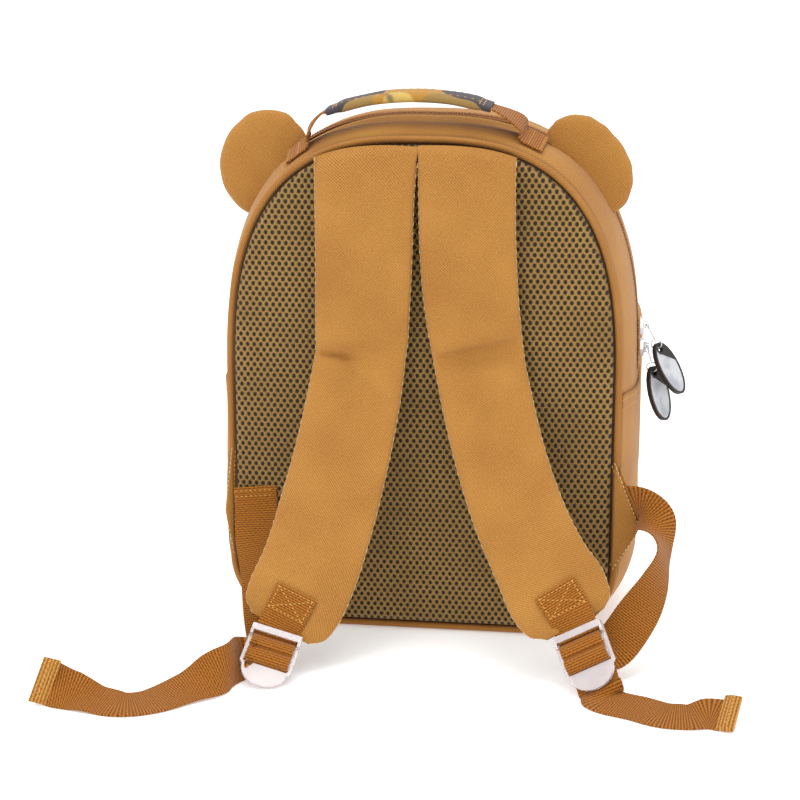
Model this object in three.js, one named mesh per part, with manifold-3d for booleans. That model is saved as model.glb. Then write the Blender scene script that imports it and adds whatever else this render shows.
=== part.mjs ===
// A child's backpack with two round ears, standing on its base with its shoulder straps towards -Y.
// X runs across the back, Y from the back panel to the front pocket, Z up. Millimetres.
// The origin is the middle of the flat base.
import * as THREE from "three";
import { mergeVertices } from "three/addons/utils/BufferGeometryUtils.js";
import Module from "manifold-3d";

const wasm = await Module();
wasm.setup();

// Cloth and clearances
const seamGap = 0.3; // between two pieces that are sewn or seated together
const clothWall = 2.0; // body cloth with its foam
const webWidth = 25;
const webThick = 1.2;
const floorGap = 0.2; // of a loose webbing above the floor

// Body
const panelWidth = 223; // back panel at its seam
const panelHigh = 291; // top of the back panel
const panelLow = 4.2; // lower seam of the back panel
const panelSpring = 150; // height where the vertical sides start to arch
const panelPower = 2.75; // squareness of the arch
const panelCorner = 38; // lower corner radius
const panelThick = 7;
const panelCrown = 2.6;
const bodyDepth = 100;
const gussetBulge = 10.5; // how far the gusset stands out past the panel seam
const baseShare = 0.45; // the bulge's share at the base, where the floor flattens it
const frontCrown = 1;
const pipingRadius = 1.9;

// Main zip and its two sliders
const zipWidth = 9;
const zipThick = 1.2;
const coilWidth = 3.6;
const coilHeight = 1.1;
const zipPlace = 0.5; // share of the depth, from the back
const sidePocketTop = 147;
const zipEndAbove = 5; // from the side pocket's hem to the end of the zip
const sliderLength = 10;
const sliderWidth = 6.4;
const sliderThick = 2.4;
const sliderPitch = 12.5;
const lowerSliderAbove = 18; // from the side pocket's hem
const bridgeLength = 7;
const bridgeHeight = 3.2;
const bridgeWidth = 1.6;
const bailLength = 12;
const bailWidth = 7;
const bailWire = 1.2;
const ringRadius = 3;
const ringWire = 0.9;
const discLength = 34;
const discWidth = 18;
const discThick = 2.6;
const discHole = 2.2;
const discRim = 1.8; // from the disc's end to its hole
const discTurn = 32; // degrees about the disc's own length
const upperLean = 26; // degrees away from the gusset
const lowerLean = 15;

// Pockets
const sidePocketLow = 16;
const sidePocketWall = 1.4;
const sidePocketHem = 8;
const hemExtra = 0.7;
const pocketWidth = 236;
const pocketHigh = 187;
const pocketLow = 16;
const pocketDepth = 38;
const pocketCorner = 62;
const pocketPower = 5.5;
const pocketArch = 40; // height of the rounded top corners
const pocketBulge = 5;
const pocketCrown = 4;
const pocketZipLength = 190;
const pocketZipPlace = 0.45; // share of the pocket's depth
const pocketPullLength = 22;

// Ears
const earRadius = 31.5;
const earThick = 8;
const earEdge = 2.6;
const earAcross = 91.5;
const earShift = -4.5; // both ears lean towards -X
const earUp = 271;
const earPlace = 0.41; // share of the depth, from the back

// Handle
const handleSpan = 104;
const handleShift = -5;
const handleRise = 312.6;
const handleDrop = 7.5;
const gripWidth = 26;
const gripThick = 5.4;
const handlePlace = 0.235;
const handleFoot = 16; // length of webbing sewn to the gusset

// Shoulder straps
const strapWidth = 54;
const strapThick = 8.4;

// Buckles
const buckleWidth = 29.6;
const buckleLength = 36;
const bucklePlate = 2.4;
const railWidth = 1.8;
const lipLength = 3.9;
const lipThick = 1.1;
const loopBar = 3.4; // the tab turns round it
const slotLength = 3.3;
const ridgeBar = 15;
const ridgeHigh = 1.3;
const tabLength = 23;
const tabBend = 0.7; // radius of its turn round the loop bar
const buckleDrop = 4; // from the strap's end to the buckle's upper edge
const buckleStand = 1.0; // of the buckle's plane in front of the strap's middle

// Wings
const wingReach = 12.5;
const wingHigh = 106;
const wingLow = 46;
const wingTip = 72;
const wingThick = 2;
const webbingSewn = 5; // length of webbing sewn to the wing

const hemRoll = 4.6; // thickness of the rolled end of a webbing
const hemDeep = 7;

// Counts of steps
const ringSteps = 60;
const zipSteps = 36;
const rowSteps = 2;

const panelHalf = panelWidth / 2;
const backY = -bodyDepth / 2;
const rimY = backY + panelThick / 2;
const panelFaceY = rimY - seamGap - panelThick;
const degree = Math.PI / 180;
const vec = (x, y, z) => new THREE.Vector3(x, y, z);

// Closed surfaces

function closedGeometry(points, triangles) {
  const volume = triangles.reduce(
    (sum, [a, b, c]) => sum + points[a].dot(points[b].clone().cross(points[c])),
    0,
  );
  const faces = volume < 0 ? triangles.map(([a, b, c]) => [a, c, b]) : triangles;
  const geometry = new THREE.BufferGeometry();
  geometry.setAttribute(
    "position",
    new THREE.Float32BufferAttribute(points.flatMap((p) => p.toArray()), 3),
  );
  geometry.setIndex(faces.flat());
  return geometry;
}

function quads(from, to, count, triangles) {
  for (let i = 0; i < count; i++) {
    const next = (i + 1) % count;
    triangles.push([from + i, from + next, to + next], [from + i, to + next, to + i]);
  }
}

// Rings from one pole to the other make a closed pad, cup or lens.
function poleSkin(first, rings, last) {
  const count = rings[0].length;
  const points = [first, ...rings.flat(), last];
  const triangles = [];
  const end = points.length - 1;
  const lastRing = end - count;
  for (let i = 0; i < count; i++) {
    const next = (i + 1) % count;
    triangles.push([0, 1 + next, 1 + i]);
    triangles.push([end, lastRing + i, lastRing + next]);
  }
  rings.slice(1).forEach((_, k) => quads(1 + k * count, 1 + (k + 1) * count, count, triangles));
  return closedGeometry(points, triangles);
}

// Sections of one flat profile, joined along a path; a closed path has no ends.
function sweepSkin(sections, profile, closed = false) {
  const count = profile.length;
  const points = sections.flat();
  const triangles = [];
  const rows = closed ? sections.length : sections.length - 1;
  for (let k = 0; k < rows; k++)
    quads(k * count, ((k + 1) % sections.length) * count, count, triangles);
  if (!closed) {
    // The walls walk their first section forwards, so its cap has to walk it backwards.
    const caps = THREE.ShapeUtils.triangulateShape(profile, []);
    const forwards = caps.some((t) => t.some((a, i) => a === 0 && t[(i + 1) % 3] === 1));
    const end = (sections.length - 1) * count;
    for (const [a, b, c] of caps) {
      const [p, q] = forwards ? [c, a] : [a, c];
      triangles.push([p, b, q], [end + q, end + b, end + p]);
    }
  }
  return closedGeometry(points, triangles);
}

function rectangle(width, height) {
  const [w, h] = [width / 2, height / 2];
  return [
    new THREE.Vector2(-w, -h),
    new THREE.Vector2(w, -h),
    new THREE.Vector2(w, h),
    new THREE.Vector2(-w, h),
  ];
}

// A pad's section: broad faces and rounded edges.
function padProfile(width, height, steps = 12, power = 3.2) {
  const points = [];
  for (let i = 0; i < steps; i++) {
    const a = ((i + 0.5) / steps) * 2 * Math.PI;
    const c = Math.cos(a);
    const s = Math.sin(a);
    points.push(
      new THREE.Vector2(
        (width / 2) * Math.sign(c) * Math.abs(c) ** (2 / power),
        (height / 2) * Math.sign(s) * Math.abs(s) ** (2 / power),
      ),
    );
  }
  return points;
}

// Booleans

function toSolid(geometry) {
  const bare = geometry.index ? geometry.toNonIndexed() : geometry.clone();
  bare.deleteAttribute("normal");
  bare.deleteAttribute("uv");
  const merged = mergeVertices(bare, 1e-4);
  return new wasm.Manifold(
    new wasm.Mesh({
      numProp: 3,
      vertProperties: new Float32Array(merged.attributes.position.array),
      triVerts: new Uint32Array(merged.index.array),
    }),
  );
}

function toGeometry(solid) {
  const mesh = solid.getMesh();
  const geometry = new THREE.BufferGeometry();
  geometry.setAttribute("position", new THREE.BufferAttribute(mesh.vertProperties, 3));
  geometry.setIndex(new THREE.BufferAttribute(mesh.triVerts, 1));
  return geometry;
}

const cut = (geometry, ...tools) =>
  toGeometry(tools.reduce((solid, tool) => solid.subtract(toSolid(tool)), toSolid(geometry)));
const join = (geometry, ...others) =>
  toGeometry(others.reduce((solid, other) => solid.add(toSolid(other)), toSolid(geometry)));

// Outlines

// An arch with vertical sides and rounded lower corners, walked from the middle of its lower
// edge up the +X side, over the top and down the -X side.
function archOutline({ half, low, high, spring, power, corner }) {
  const right = [[0, low]];
  const cornerSteps = 16;
  for (let i = 0; i <= cornerSteps; i++) {
    const a = (i / cornerSteps) * (Math.PI / 2);
    right.push([half - corner + corner * Math.sin(a), low + corner - corner * Math.cos(a)]);
  }
  const archSteps = 64;
  for (let i = 0; i <= archSteps; i++) {
    const a = (i / archSteps) * (Math.PI / 2);
    right.push([
      half * Math.cos(a) ** (2 / power),
      spring + (high - spring) * Math.sin(a) ** (2 / power),
    ]);
  }
  const left = right.slice(0, -1).reverse().map(([x, z]) => [-x, z]);
  const points = [...right, ...left].filter(
    ([x, z], i, all) => i === 0 || Math.hypot(x - all[i - 1][0], z - all[i - 1][1]) > 1e-3,
  );
  const lengths = [0];
  for (let i = 1; i < points.length; i++)
    lengths.push(
      lengths[i - 1] + Math.hypot(points[i][0] - points[i - 1][0], points[i][1] - points[i - 1][1]),
    );
  const total = lengths[lengths.length - 1];
  const normals = points.map((_, i) => {
    const last = points.length - 1;
    const [ax, az] = points[i === 0 ? last - 1 : i - 1];
    const [bx, bz] = points[i === last ? 1 : i + 1];
    const l = Math.hypot(bx - ax, bz - az);
    return [(bz - az) / l, -(bx - ax) / l];
  });
  const at = (share) => {
    const s = (((share % 1) + 1) % 1) * total;
    let k = lengths.findIndex((l) => l > s);
    if (k < 1) k = 1;
    const f = (s - lengths[k - 1]) / (lengths[k] - lengths[k - 1]);
    const mix = (list, j) => list[k - 1][j] + f * (list[k][j] - list[k - 1][j]);
    const [nx, nz] = [mix(normals, 0), mix(normals, 1)];
    const l = Math.hypot(nx, nz);
    return { x: mix(points, 0), z: mix(points, 1), nx: nx / l, nz: nz / l };
  };
  // The share of the way round at which the +X side reaches a height.
  const shareAt = (height) => {
    const k = points.findIndex(([, z]) => z >= height);
    const f = (height - points[k - 1][1]) / (points[k][1] - points[k - 1][1]);
    return (lengths[k - 1] + f * (lengths[k] - lengths[k - 1])) / total;
  };
  // The share at which the top edge reaches a distance across.
  const shareAcross = (across) => {
    const k = points.findIndex(([x, z]) => z > spring && x <= across);
    const f = (points[k - 1][0] - across) / (points[k - 1][0] - points[k][0]);
    return (lengths[k - 1] + f * (lengths[k] - lengths[k - 1])) / total;
  };
  return { at, shareAt, shareAcross };
}

const panelEdge = archOutline({
  half: panelHalf,
  low: panelLow,
  high: panelHigh,
  spring: panelSpring,
  power: panelPower,
  corner: panelCorner,
});
const pocketEdge = archOutline({
  half: pocketWidth / 2,
  low: pocketLow,
  high: pocketHigh,
  spring: pocketHigh - pocketArch,
  power: pocketPower,
  corner: pocketCorner,
});

// Depth profiles: place is a share of the depth, stand a share of the bulge.
const gussetTable = [
  { place: 0, stand: 0 },
  { place: 0.12, stand: 0.45 },
  { place: 0.26, stand: 0.8 },
  { place: 0.48, stand: 1 },
  { place: 0.74, stand: 0.98 },
  { place: 0.9, stand: 0.74 },
  { place: 0.97, stand: 0.4 },
  { place: 1, stand: -0.1 },
];
const pocketTable = [
  { place: 0, stand: -0.6 },
  { place: 0.1, stand: 0.4 },
  { place: 0.4, stand: 1 },
  { place: 0.75, stand: 0.8 },
  { place: 0.93, stand: 0.2 },
  { place: 1, stand: -0.7 },
];

function standAt(table, place) {
  const p = Math.min(Math.max(place, 0), 1);
  const k = Math.max(1, table.findIndex((row) => row.place >= p));
  const [a, b] = [table[k - 1], table[k]];
  return a.stand + ((p - a.place) / (b.place - a.place)) * (b.stand - a.stand);
}

// A point of the gusset: lift is measured out from its cloth.
function gussetPoint(share, y, lift) {
  const s = panelEdge.at(share);
  const stand = gussetBulge * standAt(gussetTable, (y - backY) / bodyDepth);
  const flattened = 1 - (1 - baseShare) * Math.max(0, -s.nz);
  const out = stand * flattened + lift;
  return vec(s.x + s.nx * out, y, Math.max(s.z + s.nz * out, Math.max(0, -lift)));
}

const ring = (edge, place) =>
  Array.from({ length: ringSteps }, (_, i) => place(edge.at(i / ringSteps), i / ringSteps));

// Front face rings: in is the share of the way to the middle, crown the share of the crown.
const faceTable = [
  { inward: 0.14, crown: 0.45 },
  { inward: 0.6, crown: 0.92 },
];

function faceRings(outer, middle, crown) {
  return faceTable.map((row) =>
    outer.map((p) => {
      const q = p.clone().lerp(middle, row.inward);
      q.y = p.y + crown * row.crown;
      return q;
    }),
  );
}

// Pieces of the body

function bodyShell() {
  const places = gussetTable.map((row) => Math.max(rimY, backY + row.place * bodyDepth));
  const middleZ = (panelHigh + panelLow) / 2;
  const frontY = bodyDepth / 2;
  const outer = [...new Set(places)].map((y) =>
    ring(panelEdge, (_, share) => gussetPoint(share, y, 0)),
  );
  const inner = [...new Set(places)]
    .filter((y) => y < frontY - clothWall)
    .concat(frontY - clothWall)
    .map((y) => ring(panelEdge, (_, share) => gussetPoint(share, y, -clothWall)));
  const outerMiddle = vec(0, frontY + frontCrown, middleZ);
  const innerMiddle = vec(0, frontY + frontCrown - clothWall, middleZ);
  const face = faceRings(outer.at(-1), outerMiddle, frontCrown);
  const lining = faceRings(inner.at(-1), innerMiddle, frontCrown);
  const rings = [...face.reverse(), ...outer.reverse(), ...inner, ...lining];
  const shell = poleSkin(outerMiddle, rings, innerMiddle);
  const slot = zipBand(seamGap, [
    [-1, -2 * clothWall],
    [1, -2 * clothWall],
    [1, 2 * clothWall],
    [-1, 2 * clothWall],
  ]);
  return cut(shell, slot);
}

const zipY = backY + zipPlace * bodyDepth;
const zipEnd = panelEdge.shareAt(sidePocketTop + zipEndAbove);

// A band along the main zip: corners are [half widths across, lift].
function zipBand(extra, corners) {
  const half = zipWidth / 2 + extra;
  const profile = corners.map(([w, lift]) => new THREE.Vector2(w * half, lift));
  const slack = extra / 900; // the extra at each end, as a share of the way round
  const sections = [];
  for (let k = 0; k <= zipSteps; k++) {
    const share = zipEnd - slack + (k / zipSteps) * (1 - 2 * zipEnd + 2 * slack);
    sections.push(profile.map((p) => gussetPoint(share, zipY + p.x, p.y)));
  }
  return sweepSkin(sections, profile);
}

function mainZip() {
  const coil = coilWidth / zipWidth;
  return zipBand(0, [
    [-1, -zipThick],
    [1, -zipThick],
    [1, 0],
    [coil, 0],
    [coil * 0.7, coilHeight],
    [-coil * 0.7, coilHeight],
    [-coil, 0],
    [-1, 0],
  ]);
}

function backPanel() {
  const inset = -(pipingRadius - seamGap);
  const rows = [
    { y: panelFaceY, inward: 3.2 },
    { y: panelFaceY + panelThick * 0.2, inward: 0.8 },
    { y: panelFaceY + panelThick * 0.5, inward: 0 },
    { y: rimY - seamGap, inward: 0 },
  ];
  const rings = rows.map((row) =>
    ring(panelEdge, (s) => {
      const out = inset - row.inward;
      return vec(s.x + s.nx * out, row.y, s.z + s.nz * out);
    }),
  );
  const middleZ = (panelHigh + panelLow) / 2;
  const front = vec(0, panelFaceY - panelCrown, middleZ);
  const face = faceRings(rings[0], front, -panelCrown);
  return poleSkin(front, [...face.reverse(), ...rings], vec(0, rimY - seamGap, middleZ));
}

function backPiping() {
  const sides = 6;
  const centre = vec(0, rimY - seamGap - pipingRadius, 0);
  const out = pipingRadius - seamGap / 2;
  const profile = Array.from({ length: sides }, (_, i) => {
    const a = (i / sides) * 2 * Math.PI;
    return new THREE.Vector2(pipingRadius * Math.cos(a), pipingRadius * Math.sin(a));
  });
  const sections = ring(panelEdge, (s) =>
    profile.map((p) =>
      vec(s.x + s.nx * (out + p.x), centre.y + p.y, s.z + s.nz * (out + p.x)),
    ),
  );
  return sweepSkin(sections, profile, true);
}

// A cloth patch that follows the gusset on the +X side, with a thicker hem at its top.
function sidePocket(side) {
  const low = Math.ceil(panelEdge.shareAt(sidePocketLow) * ringSteps);
  const high = panelEdge.shareAt(sidePocketTop);
  const hem = panelEdge.shareAt(sidePocketTop - sidePocketHem);
  // The patch steps with the shell's own rings, so that the two surfaces stay parallel.
  const shares = [];
  for (let k = low; k / ringSteps < hem; k++) shares.push(k / ringSteps);
  shares.push(hem, hem + (high - hem) * 0.08, high);
  const across = [0.05, 0.12, 0.26, 0.48, 0.74, 0.9, 0.96].map((p) => backY + p * bodyDepth);
  const thick = (share) => sidePocketWall + (share > hem ? hemExtra : 0);
  const sections = shares.map((share) => {
    const place = side > 0 ? share : 1 - share;
    const inner = across.map((y) => gussetPoint(place, y, seamGap));
    const outer = across.map((y) => gussetPoint(place, y, seamGap + thick(share)));
    return [...inner, ...outer.reverse()];
  });
  const flat = [
    ...across.map((y) => new THREE.Vector2(y, 0)),
    ...across.map((y) => new THREE.Vector2(y, sidePocketWall)).reverse(),
  ];
  return sweepSkin(sections, flat);
}

// Front pocket: a pouch on the front face, with its zip along the top.
const pocketY = bodyDepth / 2 + frontCrown + seamGap;
const pocketZipY = pocketY + pocketDepth * pocketZipPlace;

function pocketPoint(share, y, lift) {
  const s = pocketEdge.at(share);
  const stand = pocketBulge * standAt(pocketTable, (y - pocketY) / pocketDepth) + lift;
  return vec(s.x + s.nx * stand, y, s.z + s.nz * stand);
}

function pocketBand(extra, corners) {
  const half = zipWidth / 2 + extra;
  const profile = corners.map(([w, lift]) => new THREE.Vector2(w * half, lift));
  const from = pocketEdge.shareAcross(pocketZipLength / 2 + extra);
  const steps = 12;
  const sections = [];
  for (let k = 0; k <= steps; k++) {
    const share = from + (k / steps) * (1 - 2 * from);
    sections.push(profile.map((p) => pocketPoint(share, pocketZipY + p.x, p.y)));
  }
  return sweepSkin(sections, profile);
}

function frontPocket() {
  const middleZ = (pocketHigh + pocketLow) / 2;
  const frontY = pocketY + pocketDepth;
  const places = pocketTable.map((row) => pocketY + row.place * pocketDepth);
  const outer = places.map((y) => ring(pocketEdge, (_, share) => pocketPoint(share, y, 0)));
  const inner = places
    .filter((y) => y < frontY - clothWall)
    .concat(frontY - clothWall)
    .map((y) => ring(pocketEdge, (_, share) => pocketPoint(share, y, -clothWall)));
  const outerMiddle = vec(0, frontY + pocketCrown, middleZ);
  const innerMiddle = vec(0, frontY + pocketCrown - clothWall, middleZ);
  const face = faceRings(outer.at(-1), outerMiddle, pocketCrown);
  const lining = faceRings(inner.at(-1), innerMiddle, pocketCrown);
  const pouch = poleSkin(
    outerMiddle,
    [...face.reverse(), ...outer.reverse(), ...inner, ...lining],
    innerMiddle,
  );
  const slot = pocketBand(seamGap, [
    [-1, -2 * clothWall],
    [1, -2 * clothWall],
    [1, 2 * clothWall],
    [-1, 2 * clothWall],
  ]);
  return cut(pouch, slot);
}

function pocketZip() {
  const coil = coilWidth / zipWidth;
  return pocketBand(0, [
    [-1, -zipThick],
    [1, -zipThick],
    [1, 0],
    [coil, 0],
    [coil * 0.7, coilHeight],
    [-coil * 0.7, coilHeight],
    [-coil, 0],
    [-1, 0],
  ]);
}

// Ears: padded discs that end on the gusset.
const earY = backY + earPlace * bodyDepth;

function bodyBlock(grow) {
  const places = gussetTable.map((row) => backY + row.place * bodyDepth);
  const rings = places.map((y) => ring(panelEdge, (_, share) => gussetPoint(share, y, grow)));
  const middleZ = (panelHigh + panelLow) / 2;
  return poleSkin(vec(0, places[0], middleZ), rings, vec(0, places.at(-1), middleZ));
}

function ear(side) {
  const steps = 26;
  const rows = [
    { reach: 0.55, thick: 1 },
    { reach: 0.88, thick: 0.8 },
    { reach: 1, thick: earEdge / earThick },
  ];
  const centre = vec(side * earAcross + earShift, earY, earUp);
  const disc = (row, face) =>
    Array.from({ length: steps }, (_, i) => {
      const a = (i / steps) * 2 * Math.PI;
      const r = earRadius * row.reach;
      return vec(
        centre.x + r * Math.cos(a),
        centre.y + (face * earThick * row.thick) / 2,
        centre.z + r * Math.sin(a),
      );
    });
  const back = rows.map((row) => disc(row, -1));
  const front = rows.map((row) => disc(row, 1)).reverse();
  const half = vec(0, earThick / 2, 0);
  const pad = poleSkin(centre.clone().sub(half), [...back, ...front], centre.clone().add(half));
  return cut(pad, bodyBlock(seamGap));
}

// Straps and webbings: rows of places and width directions, joined by smooth curves.

function smoothRows(rows, steps) {
  const places = new THREE.CatmullRomCurve3(rows.map((row) => row.at), false, "centripetal");
  const widths = new THREE.CatmullRomCurve3(rows.map((row) => row.width), false, "catmullrom");
  const sizes = new THREE.CatmullRomCurve3(
    rows.map((row) => vec(row.wide ?? 1, row.thick ?? 1, 0)),
    false,
    "catmullrom",
  );
  const count = (rows.length - 1) * steps;
  return Array.from({ length: count + 1 }, (_, k) => {
    const t = k / count;
    const size = sizes.getPoint(t);
    return {
      at: places.getPoint(t),
      along: places.getTangent(t),
      width: widths.getPoint(t),
      wide: size.x,
      thick: size.y,
    };
  });
}

function sectionAxes({ along, width }) {
  const w = width.clone().addScaledVector(along, -width.dot(along)).normalize();
  return { w, out: along.clone().cross(w).normalize() };
}

// The profile's X lies along the width, its Y along the face that the row turns outwards.
function ribbon(rows, profile, steps = rowSteps) {
  const sections = smoothRows(rows, steps).map((row) => {
    const { at, wide, thick } = row;
    const { w, out } = sectionAxes(row);
    const section = profile.map((p) =>
      at
        .clone()
        .addScaledVector(w, p.x * wide)
        .addScaledVector(out, p.y * thick),
    );
    // Nothing reaches below the floor: a section that would is lifted until it lies on it.
    const short = Math.max(0, floorGap - Math.min(...section.map((p) => p.z)));
    for (const p of section) p.z += short;
    return section;
  });
  return sweepSkin(sections, profile);
}

// Handle

const handleY = backY + handlePlace * bodyDepth;

function handleRows(from, to, count) {
  return Array.from({ length: count }, (_, i) => {
    const t = from + (i / (count - 1)) * (to - from);
    const x = handleShift + (t * handleSpan) / 2;
    return { at: vec(x, handleY, handleRise - handleDrop * t * t), width: vec(0, 1, 0) };
  });
}

function handleGrip() {
  return ribbon(handleRows(-1, 1, 7), padProfile(gripWidth, gripThick, 10), 2);
}

// The webbing leaves the grip's end, drops to the gusset and is sewn along it.
function handleEnd(side) {
  const [near, tip] = handleRows(side * 0.985, side, 2);
  const along = tip.at.clone().sub(near.at).normalize();
  const start = tip.at.clone().addScaledVector(along, seamGap);
  const lift = seamGap + webThick / 2;
  const across = Math.abs(tip.at.x) + 6;
  // On the gusset the webbing lies across its slope, clear of its fullest line.
  const onGusset = (x, extra) => {
    const share = side > 0 ? panelEdge.shareAcross(x) : 1 - panelEdge.shareAcross(x);
    const back = gussetPoint(share, handleY - webWidth / 2, lift);
    const front = gussetPoint(share, handleY + webWidth / 2, lift);
    const middle = back.clone().add(front).multiplyScalar(0.5);
    const sag = gussetPoint(share, handleY, lift).distanceTo(middle);
    const s = panelEdge.at(share);
    middle.add(vec(s.nx, 0, s.nz).multiplyScalar(sag + extra));
    return { at: middle, width: front.sub(back).normalize() };
  };
  const rows = [
    { at: start, width: vec(0, 1, 0) },
    { at: start.clone().addScaledVector(along, 3), width: vec(0, 1, 0) },
    onGusset(across, 7),
    onGusset(across + handleFoot * 0.25, 1.2),
    onGusset(across + handleFoot * 0.5, 0.2),
    onGusset(across + handleFoot, 0.2),
  ];
  return ribbon(rows, rectangle(webWidth, webThick));
}

// Shoulder straps: down is a share of the panel's height, across of its half width, out of the
// body's depth in front of the panel, wide and thick of the strap's own sizes.
const leftStrapTable = [
  { down: 0.984, across: -0.272, out: 0.025, wide: 1.0, thick: 0.35 },
  { down: 0.955, across: -0.276, out: 0.052, wide: 1.0, thick: 0.8 },
  { down: 0.9, across: -0.279, out: 0.078, wide: 1.01, thick: 1 },
  { down: 0.8, across: -0.282, out: 0.09, wide: 1.0, thick: 1 },
  { down: 0.69, across: -0.29, out: 0.098, wide: 0.99, thick: 1 },
  { down: 0.62, across: -0.296, out: 0.1, wide: 0.97, thick: 0.9 },
  { down: 0.592, across: -0.3, out: 0.104, wide: 0.96, thick: 0.78 },
  { down: 0.56, across: -0.308, out: 0.13, wide: 0.97, thick: 0.94 },
  { down: 0.49, across: -0.332, out: 0.2, wide: 0.99, thick: 1 },
  { down: 0.4, across: -0.372, out: 0.3, wide: 1.01, thick: 1 },
  { down: 0.3, across: -0.43, out: 0.41, wide: 1.03, thick: 1 },
  { down: 0.2, across: -0.5, out: 0.53, wide: 1.04, thick: 1 },
  { down: 0.135, across: -0.57, out: 0.612, wide: 0.99, thick: 0.95 },
  { down: 0.1, across: -0.617, out: 0.66, wide: 0.84, thick: 0.8 },
  { down: 0.084, across: -0.64, out: 0.684, wide: 0.56, thick: 0.45 },
];
const rightStrapTable = [
  { down: 0.984, across: 0.232, out: 0.025, wide: 1.0, thick: 0.35 },
  { down: 0.955, across: 0.234, out: 0.052, wide: 1.0, thick: 0.8 },
  { down: 0.9, across: 0.238, out: 0.078, wide: 1.0, thick: 1 },
  { down: 0.8, across: 0.246, out: 0.09, wide: 1.0, thick: 1 },
  { down: 0.69, across: 0.268, out: 0.098, wide: 0.99, thick: 1 },
  { down: 0.62, across: 0.294, out: 0.1, wide: 0.96, thick: 0.9 },
  { down: 0.592, across: 0.306, out: 0.104, wide: 0.95, thick: 0.78 },
  { down: 0.56, across: 0.324, out: 0.13, wide: 0.94, thick: 0.94 },
  { down: 0.49, across: 0.372, out: 0.2, wide: 0.94, thick: 1 },
  { down: 0.4, across: 0.446, out: 0.3, wide: 0.94, thick: 1 },
  { down: 0.3, across: 0.552, out: 0.41, wide: 0.95, thick: 1 },
  { down: 0.22, across: 0.668, out: 0.51, wide: 0.98, thick: 1 },
  { down: 0.168, across: 0.76, out: 0.582, wide: 0.97, thick: 0.95 },
  { down: 0.134, across: 0.828, out: 0.634, wide: 0.84, thick: 0.8 },
  { down: 0.119, across: 0.856, out: 0.658, wide: 0.56, thick: 0.45 },
];

function strapRows(table) {
  return table.map((row) => ({
    at: vec(
      row.across * panelHalf,
      panelFaceY - row.out * bodyDepth,
      row.down * panelHigh,
    ),
    width: vec(1, 0, 0),
    wide: row.wide,
    thick: row.thick,
  }));
}

// What lies past the panel's own edge near the top is cut away, where the piping and gusset are.
function topEdgeBlock() {
  const from = panelEdge.shareAt(panelHigh * 0.78);
  const inner = -(pipingRadius - seamGap) - 0.1;
  const profile = [
    [panelFaceY - 30, inner],
    [rimY + 8, inner],
    [rimY + 8, 30],
    [panelFaceY - 30, 30],
  ].map(([y, lift]) => new THREE.Vector2(y, lift));
  const steps = 28;
  const sections = [];
  for (let k = 0; k <= steps; k++) {
    const s = panelEdge.at(from + (k / steps) * (1 - 2 * from));
    sections.push(profile.map((p) => vec(s.x + s.nx * p.y, p.x, s.z + s.nz * p.y)));
  }
  return sweepSkin(sections, profile);
}

// The tab's webbing presses its own seat into the padding.
function shoulderStrap(table, frame) {
  const strap = ribbon(strapRows(table), padProfile(strapWidth, strapThick, 12), 1);
  return cut(strap, topEdgeBlock(), strapTab(table, frame, seamGap));
}

// Buckles: each has its own axes at the middle of its upper edge.
function buckleFrame(table, down) {
  const end = strapRows(table).at(-1);
  const v = down.clone().normalize();
  const towards = vec(0, -1, 0);
  const w = towards.addScaledVector(v, -towards.dot(v)).normalize();
  const u = v.clone().cross(w).normalize();
  const origin = end.at.clone().addScaledVector(v, buckleDrop).addScaledVector(w, buckleStand);
  const place = (x, y, z) =>
    origin.clone().addScaledVector(u, x).addScaledVector(v, y).addScaledVector(w, z);
  return { origin, u, v, w, place };
}

const leftBuckle = buckleFrame(leftStrapTable, vec(-0.16, -0.8, -0.57));
const rightBuckle = buckleFrame(rightStrapTable, vec(0.365, -0.63, -0.685));

function plate(points, from, thick, holes = []) {
  const shape = new THREE.Shape(points.map(([x, y]) => new THREE.Vector2(x, y)));
  for (const hole of holes)
    shape.holes.push(new THREE.Path(hole.map(([x, y]) => new THREE.Vector2(x, y))));
  const geometry = new THREE.ExtrudeGeometry(shape, { depth: thick, bevelEnabled: false });
  return geometry.translate(0, 0, from);
}

const box = (x0, x1, y0, y1) => [
  [x0, y0],
  [x1, y0],
  [x1, y1],
  [x0, y1],
];

const slotEnd = loopBar + slotLength; // lower edge of the first slot
const ridgeEnd = slotEnd + ridgeBar;
const tongueStart = ridgeEnd + webThick + 2 * seamGap + 0.1;

function buckleGeometry() {
  const half = buckleWidth / 2;
  const inner = half - railWidth;
  const tongue = [];
  const arcSteps = 12;
  for (let i = 0; i <= arcSteps; i++) {
    const a = (i / arcSteps) * Math.PI;
    tongue.push([
      inner * Math.cos(a),
      tongueStart + 2 + (buckleLength - tongueStart - 2) * Math.sin(a),
    ]);
  }
  const outline = [[-half, 1.5], [-half + 1.5, 0], [half - 1.5, 0], [half, 1.5], [half, tongueStart]];
  outline.push(...tongue, [-half, tongueStart]);
  const holes = [
    box(-inner, inner, loopBar, slotEnd),
    box(-inner, inner, ridgeEnd, tongueStart),
  ];
  const frame = plate(outline, -bucklePlate / 2, bucklePlate, holes);
  const lipLow = bucklePlate / 2 + webThick + 2 * 0.25;
  const lip = plate(box(-half + 0.6, half - 0.6, 0, lipLength), lipLow, lipThick);
  const posts = [-half + 0.2, inner].map((x) =>
    plate(box(x, x + railWidth - 0.2, 0.3, lipLength + 3), 0, lipLow + lipThick - 0.1),
  );
  const ridges = [0.22, 0.78].map((share) => {
    const ridge = new THREE.CylinderGeometry(ridgeHigh * 1.5, ridgeHigh * 1.5, 2 * inner + 0.4, 12);
    ridge.rotateZ(Math.PI / 2).scale(1, 1.35, 1);
    return ridge.translate(0, slotEnd + ridgeBar * share, bucklePlate / 2 - ridgeHigh * 0.5);
  });
  return join(frame, lip, ...posts, ...ridges);
}

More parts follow.
